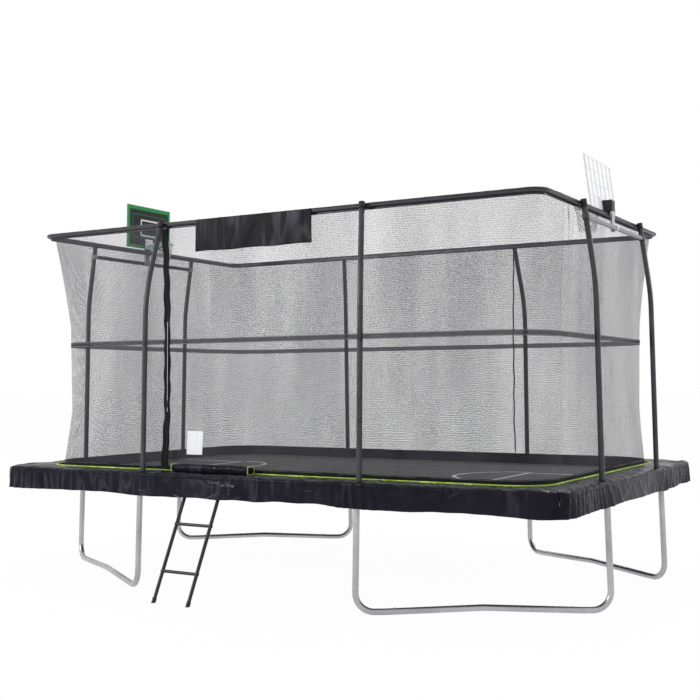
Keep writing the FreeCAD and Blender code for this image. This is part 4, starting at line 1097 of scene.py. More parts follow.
def makeUpperPoles():
    s = poleSetup
    up = Vector((0, 0, 1))
    drift = (s["bend"] - s["foot"]) * math.tan(math.radians(s["lean"]))
    groups = {"long": [], "short": []}
    for sx, sy in signPairs:
        for kind in groups:
            if kind == "long":
                plan = Vector((sx * s["long"], sy * s["railY"], 0))
                out = Vector((0, sy, 0))
                side = Vector((-sx * s["shiftLong"], 0, 0))
                inset = s["insetLong"]
            else:
                plan = Vector((sx * s["railX"], sy * s["short"], 0))
                out = Vector((sx, 0, 0))
                side = Vector((0, 0, 0))
                inset = s["insetShort"]
            foot = plan + up * s["foot"]
            bend = plan - out * drift + up * s["bend"]
            top = plan - out * inset + side + up * s["top"]
            seam = foot.lerp(bend, (s["seam"] - s["foot"]) / (s["bend"] - s["foot"]))
            before, after = (seam - bend).normalized(), (top - bend).normalized()
            half = before.angle(after) / 2
            cut = s["bendRadius"] / math.tan(half)
            centre = bend + (before + after).normalized() * (s["bendRadius"] / math.sin(half))
            first = (bend + before * cut - centre).normalized()
            last = (bend + after * cut - centre).normalized()
            shares = [k / s["arcSteps"] for k in range(s["arcSteps"] + 1)]
            points = [seam, seam.lerp(bend + before * cut, 0.5)]
            points += [centre + first.slerp(last, share) * s["bendRadius"] for share in shares]
            points += [(points[-1] + top) / 2, top]
            points = [p + Vector((0, shiftY, 0)) for p in points]
            groups[kind].append(tubePiece("pole", points, s["radius"], 24))
    for kind, parts in groups.items():
        obj = joinPieces("upperPoles" + kind.capitalize(), parts)
        finishPiece(obj, "frame", finishes["black_tube"], ["upper_poles_" + kind], "black_tube")


makeUpperPoles()
print("upper poles made")

# Entrance: wavy flap and zip

stripSetup = {
    "centre": entranceX,
    "width": 0.058,
    "bottom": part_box("entrance_strip")[0].z,
    "top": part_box("entrance_strip")[1].z,
    "flare": 0.010,
    "shift": 0.005,
    "wave": 0.005,
    "waves": 9,
    "lift": 0.0022,  # clear of hem and strap
    "thickness": 0.0024,
    "columns": 10,
    "rows": 240,
    "foldDepth": 0.006,
}


def makeStrip():
    s = stripSetup
    tall = s["top"] - s["bottom"]

    def place(i, j):
        t = j / s["rows"]
        z = s["bottom"] + tall * t
        swing = s["wave"] * math.sin(math.pi * (2 * s["waves"] * t + 0.5))
        swing += 0.004 * waves(z * 3.1, 1.7, 0.4)
        across = i / s["columns"] - 0.5
        wide = s["width"] + s["flare"] * max(0.0, 1 - t / 0.07)
        x = s["centre"] + s["shift"] + across * wide + swing * 0.8
        turn = 2 * math.pi * (across * 1.4 + z * 1.9) + 2 * waves(z * 4, 0, 3)
        fold = s["foldDepth"] * (0.5 + 0.5 * math.sin(turn))
        edge = 1 - min(1.0, t / 0.03)
        lift = s["lift"] + s["thickness"] / 2 + fold * (0.35 + 0.65 * abs(across) * 2) * (1 - edge)
        return Vector((x, netFront(z, lift), z))

    obj = gridPiece("entranceFlap", s["columns"], s["rows"], place,
                    lambda i, j: (s["width"] * i / s["columns"], tall * j / s["rows"]))
    faceAway(obj, (s["centre"], shiftY, netSetup["insideHeight"]))
    thicken(obj, s["thickness"])
    finishPiece(obj, "frame", finishes["black_webbing"], ["entrance_strip"], "black_webbing")


zipSetup = {
    "low": 1.280,
    "high": 1.950,
    "steps": 40,
    "lift": stripSetup["lift"] + stripSetup["thickness"] + 0.0074,
    "tapeWidth": 0.016,
    "tapeThickness": 0.0007,
    "tapeDrop": 0.0009,
    "tooth": (0.0014, 0.0036, 0.0012),
    "toothPitch": 0.0026,
    "toothSpread": 0.0011,
    "stagger": 0.0006,
}


def makeZip():
    s = zipSetup
    centre = (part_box("zip_slider")[0].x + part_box("zip_slider")[1].x) / 2
    tall = s["high"] - s["low"]

    def tape(i, j):
        z = s["low"] + tall * j / s["steps"]
        return Vector((centre + (i / 4 - 0.5) * s["tapeWidth"], netFront(z, s["lift"] - s["tapeDrop"]), z))

    tapePiece = gridPiece("zipTape", 4, s["steps"], tape, lambda i, j: (i * 0.005, j * 0.017))
    faceAway(tapePiece, (centre, shiftY, 1.6))
    thicken(tapePiece, s["tapeThickness"])
    finishPiece(tapePiece, "frame", finishes["black_webbing"], slot="black_webbing")
    tooth = blockUnit("toothUnit", *s["tooth"])
    count = int(tall / s["toothPitch"])
    rows = []
    for side in (-1, 1):
        points = []
        for k in range(s["steps"] + 1):
            z = s["low"] + s["stagger"] * side + (tall - 0.002) * k / s["steps"]
            points.append(Vector((centre + side * s["toothSpread"], netFront(z, s["lift"]), z)))
        facings = [Vector((0, -1, 0))] * len(points)
        rows.append(repeatAlong("toothRow", points, facings, count, tooth, finishes["black_plastic"]))
    bpy.data.objects.remove(tooth)
    finishPiece(joinPieces("zipTeeth", rows), "frame", None, slot="black_plastic")


makeStrip()
makeZip()
print("entrance made")

# Mat, webbing, court lines, springs

matSetup = {
    "halfX": 2.081,
    "halfY": 1.287,
    "radius": 0.250,
    "top": 0.792,
    "thickness": 0.002,
    "webbing": 0.045,
    "lineWidth": 0.030,
    "keyLength": 0.62,
    "keyHalf": 0.36,
    "arcRadius": 0.42,
    "lineLift": 0.0003,
    "stitchInsets": (0.006, 0.0225, 0.039),
    "stitchPitch": 0.008,
    "stitchLift": 0.0001,
    "webbingThickness": 0.0018,
}
springSetup = {
    "height": 0.7857,
    "gap": 0.155,
    "endMargin": 0.300,
    "pitch": 0.132,
    "coilStart": 0.0465,
    "coilEnd": 0.1345,
    "radius": 0.0082,
    "wire": 0.0018,
    "turns": 21,
    "stepsPerTurn": 8,
    "hookStart": 0.0164,
    "hookLift": 0.0041,
    "hookDrop": 0.009,
    "tail": 0.0075,
}


def makeMat():
    s = matSetup
    rings = 26
    outline = ringPath(s["halfX"], s["halfY"], s["radius"], 60, 8)
    columns = len(outline) - 1
    bm = bmesh.new()
    uvLayer = bm.loops.layers.uv.new("UVMap")
    table = []
    for j in range(rings + 1):
        t = j / rings
        row = []
        for i in range(columns):
            point = outline[i][0]
            core = Vector((max(-1.2, min(1.2, point.x)) * 0.66, 0, 0))
            place = core.lerp(point, 1 - t * 0.999)
            row.append(bm.verts.new(at(place, s["top"])))
        table.append(row)
    for j in range(rings):
        for i in range(columns):
            k = (i + 1) % columns
            face = bm.faces.new((table[j][i], table[j][k], table[j + 1][k], table[j + 1][i]))
            face.smooth = True
    bmesh.ops.remove_doubles(bm, verts=table[-1], dist=0.004)

    def nearMiddle(edge):
        return all(abs(v.co.y - shiftY) < 0.05 for v in edge.verts)

    loose = [e for e in bm.edges if e.is_boundary and nearMiddle(e)]
    if loose:
        bmesh.ops.holes_fill(bm, edges=loose, sides=0)
    for face in bm.faces:
        for loop in face.loops:
            loop[uvLayer].uv = (loop.vert.co.x, loop.vert.co.y)
    bmesh.ops.recalc_face_normals(bm, faces=bm.faces)
    obj = faceAway(meshFrom("matCloth", bm), (0, shiftY, -5))
    thicken(obj, s["thickness"], -1.0)
    finishPiece(obj, "mat", finishes["mat_weave"], ["mat"], "mat_weave")


def makeWebbing():
    s = matSetup
    outer = ringPath(s["halfX"], s["halfY"], s["radius"], 110, 12)
    columns = len(outer) - 1
    rows = 5
    low = s["top"] - s["thickness"]

    def place(i, j):
        point, out, distance = outer[i % columns]
        return at(point, low - 0.001, out, -s["webbing"] * j / rows)

    def flat(i, j):
        return outer[min(i, columns)][2], s["webbing"] * j / rows

    obj = gridPiece("matWebbing", columns, rows, place, flat, closedColumns=True)
    faceAway(obj, (0, shiftY, -5))
    thicken(obj, s["webbingThickness"])
    finishPiece(obj, "mat", finishes["black_webbing"], ["mat_webbing"], "black_webbing")
    stitches = []
    for inset in s["stitchInsets"]:
        path = ringPath(s["halfX"] - inset, s["halfY"] - inset, s["radius"] - inset, 60, 10)[:-1]
        stitches.append(stitchRow(path, s["top"] + s["stitchLift"], s["stitchPitch"], seamThread))
    finishPiece(joinPieces("matStitches", stitches), "mat", None, slot="mat_weave")


def flatStrip(name, points, width, z):
    # A printed line along points on the mat.
    vertices = []
    for i, p in enumerate(points):
        before = points[max(i - 1, 0)]
        after = points[min(i + 1, len(points) - 1)]
        along = (Vector(after) - Vector(before)).normalized()
        side = Vector((-along.y, along.x, 0)) * width / 2
        vertices += [Vector((p[0], p[1] + shiftY, z)) + side, Vector((p[0], p[1] + shiftY, z)) - side]
    faces = [(2 * i, 2 * i + 1, 2 * i + 3, 2 * i + 2) for i in range(len(points) - 1)]
    mesh = bpy.data.meshes.new(name)
    mesh.from_pydata(vertices, [], faces)
    obj = linkMesh(name, mesh)
    return faceAway(obj, (0, shiftY, -5))


def makeCourtLines():
    s = matSetup
    z = s["top"] + s["lineLift"]
    parts = []
    for sign in (-1, 1):
        edge = s["halfX"] - 0.10
        inner = edge - s["keyLength"]
        half = s["keyHalf"]
        corners = [(sign * edge, -half), (sign * inner, -half), (sign * inner, half), (sign * edge, half)]
        for (ax, ay), (bx, by) in zip(corners[:-1], corners[1:]):
            steps = 6
            line = [(ax + (bx - ax) * k / steps, ay + (by - ay) * k / steps) for k in range(steps + 1)]
            parts.append(flatStrip("line", line, s["lineWidth"], z))
        arc = []
        for k in range(33):
            a = math.pi * (k / 32 - 0.5)
            arc.append((sign * (inner - s["arcRadius"] * math.cos(a)), s["arcRadius"] * math.sin(a)))
        parts.append(flatStrip("line", arc, s["lineWidth"], z))
    obj = joinPieces("courtLines", parts)
    finishPiece(obj, "mat", linePaint, slot="mat_weave")
    thicken(obj, 0.0003)


def springUnitPiece():
    # One spring along Z: hook, tapering end, close coil, tapering end, straight tail.
    s = springSetup
    lift, start = s["hookLift"], s["hookStart"]
    path = [(0, lift - s["hookDrop"], start + 0.001), (0, lift - 0.002, start), (0, lift, start + 0.003)]
    path.append((0, lift, s["coilStart"] - 0.006))
    steps = s["turns"] * s["stepsPerTurn"]
    for k in range(steps + 1):
        a = 2 * math.pi * k / s["stepsPerTurn"] + math.pi / 2
        ease = min(1.0, k / 6, (steps - k) / 6)
        r = s["radius"] * (0.35 + 0.65 * ease)
        z = s["coilStart"] + (s["coilEnd"] - s["coilStart"]) * k / steps
        path.append((r * math.cos(a), r * math.sin(a), z))
    path += [(0, 0, s["coilEnd"] + 0.006), (0, 0, s["gap"] + s["tail"])]
    return tubePiece("springUnit", path, s["wire"], 5)


def makeSprings():
    s = springSetup
    unit = springUnitPiece()
    m = matSetup
    sides = {
        "Front": ((0, -1), m["halfX"], m["halfY"], "springs_long"),
        "Back": ((0, 1), m["halfX"], m["halfY"], "springs_long"),
        "Left": ((-1, 0), m["halfY"], m["halfX"], "springs_short"),
        "Right": ((1, 0), m["halfY"], m["halfX"], "springs_short"),
    }
    for name, (out, span, depth, node) in sides.items():
        outward = Vector((out[0], out[1], 0))
        along = outward.cross(Vector((0, 0, 1)))
        run = 2 * (span - s["endMargin"])
        base = outward * depth + Vector((0, shiftY, s["height"]))
        ends = [base - along * (run / 2), base + along * (run / 2)]
        count = int(run / s["pitch"]) + 1
        obj = repeatAlong("springs" + name, ends, [outward] * 2, count, unit, finishes["zinc_hardware"])
        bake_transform(obj)
        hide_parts(node)
    bpy.data.objects.remove(unit)


makeMat()
makeWebbing()
makeCourtLines()
makeSprings()
print("mat and springs made")

# Frame pad, skirts, piping

padSetup = {
    "outer": (2.317, 1.523, 0.165),
    "inner": (2.087, 1.293, 0.250),
    "bottom": 0.8150,
    "edgeTop": 0.8350,
    "innerTop": 0.8440,
    "crown": 0.0035,
    "slopeInset": 0.028,
    "stepAlong": 0.011,
    "creaseDepth": 0.0056,
    "width": 0.230,
    "bottomLift": 0.0002,
    "rowGirth": 0.012,
    "edgePush": 0.0022,
    "foldPush": 0.0055,
    "poleHole": 0.0222,
    "holeHeight": 0.83,
    "holeDepth": 0.09,
}
collarSetup = {
    "height": 0.8475,
    "radius": 0.0255,
    "wire": 0.0034,
    "wave": 0.0012,
    "steps": 28,
}
pipingSetup = {
    "radius": 0.005,
    "inset": 0.006,
    "height": 0.8490,
    "stitchInset": 0.0135,
    "stitchHeight": 0.8452,
    "stitchPitch": 0.009,
}
stepLow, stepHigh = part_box("step_pad")
stepSetup = {
    "centre": (stepLow.x + stepHigh.x) / 2,
    "length": 0.704,
    "back": -1.305,
    "depth": 0.076,
    "bottom": 0.8444,
    "height": 0.054,
    "columns": 70,
    "rows": 24,
    "voxel": 0.0055,
    "pressure": 4.0,
    "frames": 20,
    "travel": 0.007,
    "rimSteps": 40,
    "rimWire": 0.0036,
}
padHalfX, padHalfY = padSetup["outer"][:2]
gatherSpots = [(sx * poleSetup["long"], sy * padHalfY, 0.20) for sx, sy in signPairs]
gatherSpots += [(sx * padHalfX, sy * poleSetup["short"], 0.22) for sx, sy in signPairs]
gatherSpots += [(sx * (padHalfX - 0.12), sy * (padHalfY - 0.05), 0.30) for sx, sy in signPairs]


def padTopAt(t):
    # Height of the pad's top over its width, 0 inside and 1 outside.
    s = padSetup
    wide = s["outer"][0] - s["inner"][0]
    fromOuter = (1 - t) * wide
    fromInner = t * wide
    top = s["innerTop"] + s["crown"] * math.sin(math.pi * min(1.0, max(0.0, (t - 0.08) / 0.84))) ** 0.8
    if fromOuter < s["slopeInset"]:
        k = fromOuter / s["slopeInset"]
        top = s["edgeTop"] + (top - s["edgeTop"]) * math.sin(k * math.pi / 2)
    if fromInner < 0.004:
        top -= 0.004 * (1 - fromInner / 0.004) ** 2
    return top


def padCrease(distance, t, seed):
    # Slanted ridges and soft hollows in the cover.
    across = t * padSetup["width"]
    a = distance * 0.82 + across * 0.57
    b = -distance * 0.57 + across * 0.82
    ridge = 1 - abs(waves(a * 9.0, b * 2.4, seed)) * 3.4
    soft = waves(distance * 4.0, across * 6.0, seed + 4.0)
    fine = waves(a * 22.0, b * 7.0, seed + 9.0)
    return 0.85 * max(-0.4, ridge) + 0.55 * soft + 0.10 * fine


def bunching(point):
    # The cover is gathered round the poles and at the corners, and smoother between them.
    near = 0.0
    for x, y, reach in gatherSpots:
        near += math.exp(-((point.x - x) ** 2 + (point.y - y) ** 2) / reach ** 2)
    return 0.30 + 0.90 * min(1.0, near)


def sharpFold(distance, rise, seed):
    # Pinched slanted folds: steep on one side and soft on the other.
    lean = distance + 0.55 * rise * math.sin(distance * 2.3 + seed)
    lean += 0.03 * waves(distance * 3.0, rise * 5.0, seed)
    phase = lean * 7.5 + 1.6 * waves(lean * 1.7, 0.4, seed + 3.0)
    t = phase - math.floor(phase)
    return (t / 0.78) ** 1.4 if t < 0.78 else (1 - t) / 0.22


def underStep(point):
    s = stepSetup
    nearX = abs(point.x - s["centre"]) < s["length"] / 2 + 0.012
    nearY = s["back"] - s["depth"] - 0.018 < point.y < s["back"] + 0.006
    return nearX and nearY


def makePad(name, node, side, seed):
    s = padSetup
    longSide = side in ("front", "back")
    straight = 2 * ((s["outer"][0] if longSide else s["outer"][1]) - 0.25)
    steps = round(straight / s["stepAlong"])
    outer = sidePath(*s["outer"], side, steps, 16)
    inner = sidePath(*s["inner"], side, steps, 16)
    columns = len(outer) - 1
    edgeRise = s["edgeTop"] - s["bottom"]
    profile = [(k / 6, "bottom") for k in range(7)]
    profile += [(1.0, s["bottom"] + edgeRise * k / 4) for k in range(1, 4)]
    profile += [(1 - k / 24, "top") for k in range(25)]
    profile += [(0.0, s["edgeTop"] + 0.005 - edgeRise * k / 4) for k in range(1, 4)]

    def topRise(point, distance, t, edge):
        bunch = bunching(point)
        rise = padCrease(distance, t, seed) * (0.5 + 0.7 * bunch)
        rise += 0.9 * bunch * sharpFold(distance, t * s["width"], seed)
        return rise * (s["creaseDepth"] * min(1.0, t / 0.12 + 0.05) * (0.3 + 0.7 * edge))

    def place(i, j):
        t, z = profile[j]
        point = inner[i][0].lerp(outer[i][0], t)
        out, distance = outer[i][1:]
        push = 0.0
        if z == "bottom":
            z = s["bottom"] + s["bottomLift"]
        elif z == "top":
            z = padTopAt(t)
            if underStep(point):
                z += min(0.0, s["innerTop"] - 0.0006 - z)
            else:
                z += topRise(point, distance, t, min(1.0, min(i, columns - i) / 5.0))
        elif t == 1.0:
            push = s["edgePush"] * max(-0.25, padCrease(distance, z * 14, seed + 2.0))
            push += s["foldPush"] * bunching(point) * sharpFold(distance, z, 31.0)
        return at(point, z, out, push)

    obj = gridPiece(name, columns, len(profile), place, lambda i, j: (outer[i][2], s["rowGirth"] * j),
                    closedRows=True)
    turnOutwards(obj, capped=True)
    sign = 1 if side in ("back", "right") else -1
    for mark in (-1, 1):
        if longSide:
            centre = Vector((mark * poleSetup["long"], sign * poleSetup["railY"], 0))
        else:
            centre = Vector((sign * poleSetup["railX"], mark * poleSetup["short"], 0))
        bm = bmesh.new()
        bmesh.ops.create_cone(bm, cap_ends=True, segments=28, radius1=s["poleHole"], radius2=s["poleHole"],
                              depth=s["holeDepth"], matrix=Matrix.Translation(at(centre, s["holeHeight"])))
        cutter = meshFrom("holeCutter", bm)
        modifier = obj.modifiers.new("hole", "BOOLEAN")
        modifier.operation = "DIFFERENCE"
        modifier.solver = "EXACT"
        modifier.object = cutter
        bake(obj)
        bpy.data.objects.remove(cutter)
    finishPiece(obj, "frame", finishes["pad_vinyl"], [node], "pad_vinyl")


def makePoleCollars():
    # Bound edges where the poles pass through the pad.
    s = collarSetup
    parts = []
    spots = [(sx * poleSetup["long"], sy * poleSetup["railY"]) for sx, sy in signPairs]
    spots += [(sx * poleSetup["railX"], sy * poleSetup["short"]) for sx, sy in signPairs]
    for x, y in spots:
        points = []
        for k in range(s["steps"]):
            a = 2 * math.pi * k / s["steps"]
            ring = Vector((s["radius"] * math.cos(a), s["radius"] * math.sin(a), 0))
            points.append(at(Vector((x, y, 0)), s["height"] + s["wave"] * waves(a, x, y)) + ring)
        parts.append(tubePiece("collar", points, s["wire"], 8, closed=True))
    finishPiece(joinPieces("poleCollars", parts), "frame", finishes["black_webbing"], slot="pad_vinyl")


skirtSetup = {
    "top": 0.8152,
    "low": 0.685,
    "thickness": 0.0014,
    "flare": 0.018,
    "flareInner": 0.230,
    "flareOuter": 0.380,
    "ladderCentre": (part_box("ladder_rungs")[0].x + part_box("ladder_rungs")[1].x) / 2,
    "columnStep": 0.012,
    "rows": 14,
    "wave": 0.007,
    "foldPush": 0.0085,
    "spread": 0.010,
}


def skirtFlare(x):
    # How far the front skirt stands out over the ladder.
    s = skirtSetup
    away = abs(x - s["ladderCentre"])
    if away >= s["flareOuter"]:
        return 0.0
    return s["flare"] * min(1.0, (s["flareOuter"] - away) / (s["flareOuter"] - s["flareInner"]))


def makeSkirt(name, path, node, hasLadder=False):
    s = skirtSetup
    columns = len(path) - 1
    tall = s["top"] - s["low"]
    atFront = node == "skirt_front"

    def place(i, j):
        point, out, distance = path[i]
        drop = j / s["rows"]
        z = s["top"] - tall * drop
        bunch = bunching(point)
        crease = padCrease(distance, z * 4.0, 31.0)
        push = s["wave"] * drop * max(0.0, 0.35 + 0.55 * waves(distance * 2.2, 0.3, 6.0) + 0.35 * crease)
        push += s["foldPush"] * bunch * sharpFold(distance, z, 31.0) * (1 + 0.9 * drop)
        push += 0.0018 * max(0.0, crease) * math.sin(math.pi * min(1.0, drop * 1.4))
        if atFront:
            push += skirtFlare(point.x) * drop
        sag = 0.011 * waves(distance * 1.6, 5.0, 1.0) + 0.006 * waves(distance * 6.0, 2.0, 1.0)
        z += drop * (sag - 0.006 * (bunch - 0.6))
        return at(point, max(z, s["low"] - s["spread"]), out, push - 0.0009)

    obj = gridPiece(name, columns, s["rows"], place, lambda i, j: (path[i][2], tall * j / s["rows"]))
    faceAway(obj, (0, shiftY, 0.75))
    bake(thicken(obj, s["thickness"]))
    obj.data.set_sharp_from_angle(angle=math.radians(50))
    finishPiece(obj, "frame", finishes["pad_vinyl"], [node], "pad_vinyl")
    if hasLadder:
        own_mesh(obj)


def makeSkirts():
    s = skirtSetup
    outer = padSetup["outer"]
    fullSteps = round(2 * (outer[0] - outer[2]) / s["columnStep"])
    front = sidePath(*outer, "front", fullSteps, 14)
    left = s["ladderCentre"] - s["flareOuter"]
    right = s["ladderCentre"] + s["flareOuter"]
    start = max(i for i, p in enumerate(front) if p[0].x <= left)
    end = min(i for i, p in enumerate(front) if p[0].x >= right)
    makeSkirt("skirtFrontLeft", front[:start + 1], "skirt_front")
    makeSkirt("skirtLadder", front[start:end + 1], "skirt_front", True)
    makeSkirt("skirtFrontRight", front[end:], "skirt_front")
    parts = []
    for side in ("right", "back", "left"):
        half = outer[0] if side == "back" else outer[1]
        steps = round(2 * (half - outer[2]) / s["columnStep"])
        parts.append(sidePath(*outer, side, steps, 14))
    makeSkirt("skirtSides", chainSides(parts), "skirt_sides")


def makePiping():
    s = pipingSetup
    x, y, corner = padSetup["inner"]

    def insetPath(inset, steps, cornerSteps):
        return ringPath(x + inset, y + inset, corner + inset, steps, cornerSteps)[:-1]

    path = insetPath(s["inset"], 330, 22)
    points = [at(p, s["height"] + 0.0006 * waves(d * 3.0, 2.0, 1.0)) for p, o, d in path]
    obj = tubePiece("padPiping", points, s["radius"], 9, closed=True,
                    ripple=lambda d, a: 1 + 0.05 * waves(d * 60.0, math.cos(a), math.sin(a)))
    finishPiece(obj, "frame", finishes["green_piping"], ["pad_piping"], "green_piping")
    row = stitchRow(insetPath(s["stitchInset"], 60, 10), s["stitchHeight"], s["stitchPitch"], threadFinish)
    finishPiece(joinPieces("padStitches", [row]), "frame", None, slot="pad_vinyl")


def clothPuff(obj, floorZ):
    # Inflates a closed form by a short cloth simulation, with each point's travel capped.
    s = stepSetup
    bm = bmesh.new()
    bm.from_mesh(obj.data)
    bmesh.ops.triangulate(bm, faces=bm.faces)
    bm.to_mesh(obj.data)
    bm.free()
    remesh = obj.modifiers.new("even", "REMESH")
    remesh.mode = "VOXEL"
    remesh.voxel_size = s["voxel"]
    bake(obj)
    start = [v.co.copy() for v in obj.data.vertices]
    cloth = obj.modifiers.new("cloth", "CLOTH")
    cloth.settings.quality = 6
    cloth.settings.mass = 0.25
    cloth.settings.use_pressure = True
    cloth.settings.uniform_pressure_force = s["pressure"]
    cloth.settings.effector_weights.gravity = 0.0
    cloth.point_cache.frame_start = 1
    cloth.point_cache.frame_end = s["frames"]
    scene = bpy.context.scene
    for number in range(1, s["frames"] + 1):
        scene.frame_set(number)
    bake(obj)
    scene.frame_set(1)
    for vertex, before in zip(obj.data.vertices, start):
        move = vertex.co - before
        if move.length > s["travel"]:
            vertex.co = before + move.normalized() * s["travel"]
    for vertex in obj.data.vertices:
        vertex.co.z = max(vertex.co.z, floorZ)
    obj.data.shade_smooth()
    subdivision = obj.modifiers.new("smooth", "SUBSURF")
    subdivision.levels = subdivision.render_levels = 1
    return bake(obj)


def boxy(value, power):
    # Bends a circle's cosine or sine towards a square outline.
    return math.copysign(abs(value) ** power, value)


def makeStepPad():
    s = stepSetup
    half = s["length"] / 2 - 0.006
    inset = 0.004
    midY = s["back"] - s["depth"] / 2
    midZ = s["bottom"] + s["height"] / 2 + 0.002
    seat = s["bottom"] + 0.0003

    def place(i, j):
        x = -half + 2 * half * i / s["columns"]
        end = min(1.0, (half - abs(x)) / 0.022 + 0.35) ** 0.5
        a = 2 * math.pi * j / s["rows"]
        c, d = math.cos(a), math.sin(a)
        y = boxy(c, 0.38) * (s["depth"] / 2 - inset)
        z = boxy(d, 0.38) * (s["height"] / 2 - 0.001)
        pinch = 1 - 0.05 * math.cos(2 * math.pi * (x + half) / half) * (1 if d > 0.3 else 0)
        return Vector((s["centre"] + x, midY + y * (0.82 + 0.18 * end) + shiftY, midZ + z * end * pinch))

    obj = gridPiece("stepPad", s["columns"], s["rows"], place, lambda i, j: (i * 0.01, j * 0.01),
                    closedRows=True)
    clothPuff(turnOutwards(obj, capped=True), seat)
    for vertex in obj.data.vertices:
        p = vertex.co
        fold = 1 - abs(waves((p.x + p.y) * 18.0, p.z * 9.0, 3.0)) * 2.4
        vertex.co += vertex.normal * 0.0016 * max(-0.3, fold)
        vertex.co.z = max(vertex.co.z, seat)
    finishPiece(obj, "frame", finishes["pad_vinyl"], ["step_pad"], "pad_vinyl")
    rims = []
    for end in (-1, 1):
        points = []
        for c, d in circle(s["rimSteps"]):
            y = boxy(c, 0.4) * (s["depth"] / 2 + 0.0005)
            z = boxy(d, 0.4) * (s["height"] / 2 + 0.0035)
            x = s["centre"] + end * (half - 0.005)
            points.append(Vector((x, midY + y + shiftY, max(midZ + z, s["bottom"] + 0.0035))))
        rims.append(tubePiece("stepRim", points, s["rimWire"], 8, closed=True))
    finishPiece(joinPieces("stepPiping", rims), "frame", finishes["green_piping"], slot="green_piping")


for number, side in enumerate(sideNames):
    makePad("pad" + side.capitalize(), "pad_" + side, side, number + 1.0)
makePoleCollars()
makeSkirts()
makePiping()
print("pad and skirts made")
makeStepPad()
print("step pad made")

# Banner

bannerSetup = {
    "centre": -0.052,
    "width": 1.006,
    "top": 2.686,
    "drop": 0.236,
    "face": -1.3072,
    "columns": 170,
    "rows": 34,
    "foldDepth": 0.0040,
    "thickness": 0.0012,
    "ties": 6,
    "tieMargin": 0.02,
    "tieHeight": 2.6700,
    "tieWire": 0.0013,
    "eyeletHeight": 2.655,
}


def makeBanner():
    s = bannerSetup

    def place(i, j):
        u = i / s["columns"]
        v = j / s["rows"]
        x = s["centre"] + (u - 0.5) * s["width"]
        z = s["top"] - s["drop"] * v
        slant = x + 0.10 * v + 0.02 * waves(x * 2.0, v, 4.0)
        ridge = 1 - abs(waves(slant * 8.0, v * 0.5, 2.0)) * 3.2
        soft = waves(slant * 4.0, v * 0.6, 7.0)
        push = s["foldDepth"] * (0.6 + 0.6 * max(-0.6, ridge) + 0.6 * soft) * (0.25 + 0.75 * min(1, v * 3))
        z += 0.0022 * math.sin(u * math.pi * 5.0) * v
        return Vector((x, s["face"] + 0.0035 - max(0.0, push) + shiftY, z))

    obj = gridPiece("bannerCloth", s["columns"], s["rows"], place,
                    lambda i, j: (s["width"] * i / s["columns"], s["drop"] * j / s["rows"]))
    faceAway(obj, (s["centre"], 0, 2.5))
    thicken(obj, s["thickness"])
    finishPiece(obj, "frame", finishes["banner_cloth"], ["banner"], "banner_cloth")
    span = s["width"] - 2 * s["tieMargin"]
    ties = []
    for k in range(s["ties"]):
        x = s["centre"] + (k / (s["ties"] - 1) - 0.5) * span
        points = []
        for c, d in circle(22):
            y = -ringHalfY - 0.0015 + 0.0215 * c + shiftY
            points.append(Vector((x + 0.001 * d, y, s["tieHeight"] + 0.0195 * d)))
        ties.append(tubePiece("tie", points, s["tieWire"], 6, closed=True))
    finishPiece(joinPieces("bannerTies", ties), "frame", finishes["black_plastic"], slot="black_plastic")
    y = s["face"] - 0.0022 + shiftY
    ends = [Vector((s["centre"] + share * span, y, s["eyeletHeight"])) for share in (-0.5, 0.5)]
    facings = [Vector((0, -1, 0))] * 2
    eyelets = repeatAlong("bannerEyelets", ends, facings, s["ties"], eyeletUnit, finishes["black_plastic"])
    finishPiece(eyelets, "frame", None, slot="black_plastic")


makeBanner()
print("banner made")

# Boards and hoops

boardSetup = {
    "width": 0.568,
    "height": 0.378,
    "bottom": 2.702,
    "rib": 0.009,
    "panel": 0.003,
    "border": 0.026,
    "topBorder": 0.032,
    "filmLift": 0.0003,
    "film": 0.0006,
    "margin": 0.002,
    "plateHalf": 0.050,  # free for the hoop's plate
    "plateTop": 0.090,
    "edgeTrim": 0.0012,
    "sides": {"Right": (1, 2.092, 7.5, "board_light"), "Left": (-1, 2.139, 1.0, "board_dark")},
    "trim": {"Right": 2, "Left": 1},
}
bracketSetup = {
    "clearance": 0.003,
    "lip": 0.006,
    "top": 2.778,
    "bottom": 2.690,
    "halfWidth": 0.0325,
    "chamfer": 0.004,
}
hoopSetup = {
    "centre": 1.965,
    "height": 2.738,
    "radius": 0.088,
    "wire": 0.005,
    "length": 0.165,
    "bottomRadius": 0.060,
    "columns": 12,
    "levels": 8,
    "cord": 0.0020,
    "knot": 0.0036,
}


def boardPoint(side, y, z, depth):
    # A point from the board's middle, up its face and in from its back.
    s = boardSetup
    sign, back, lean, slot = s["sides"][side]
    a = math.radians(lean)
    upBoard = Vector((-math.sin(a), 0, math.cos(a)))
    inward = Vector((-math.cos(a), 0, -math.sin(a)))
    p = Vector((back, y, s["bottom"])) + upBoard * z + inward * depth
    return Vector((p.x * sign, p.y + shiftY, p.z))


def boardPanels(name, side, boxes):
    # Thin plates on the board's face: (y0, y1, z0, z1, d0, d1, finish number).
    bm = bmesh.new()
    for y0, y1, z0, z1, d0, d1, number in boxes:
        v = [bm.verts.new(boardPoint(side, y, z, d)) for d in (d0, d1) for z in (z0, z1) for y in (y0, y1)]
        for quad in ((0, 1, 3, 2), (4, 6, 7, 5), (0, 4, 5, 1), (2, 3, 7, 6), (0, 2, 6, 4), (1, 5, 7, 3)):
            face = bm.faces.new([v[k] for k in quad])
            face.material_index = number
    bmesh.ops.recalc_face_normals(bm, faces=bm.faces)
    obj = meshFrom(name, bm)
    for finish in (boardFilm, boardGreen, boardWhite):
        obj.data.materials.append(finish)
    return obj


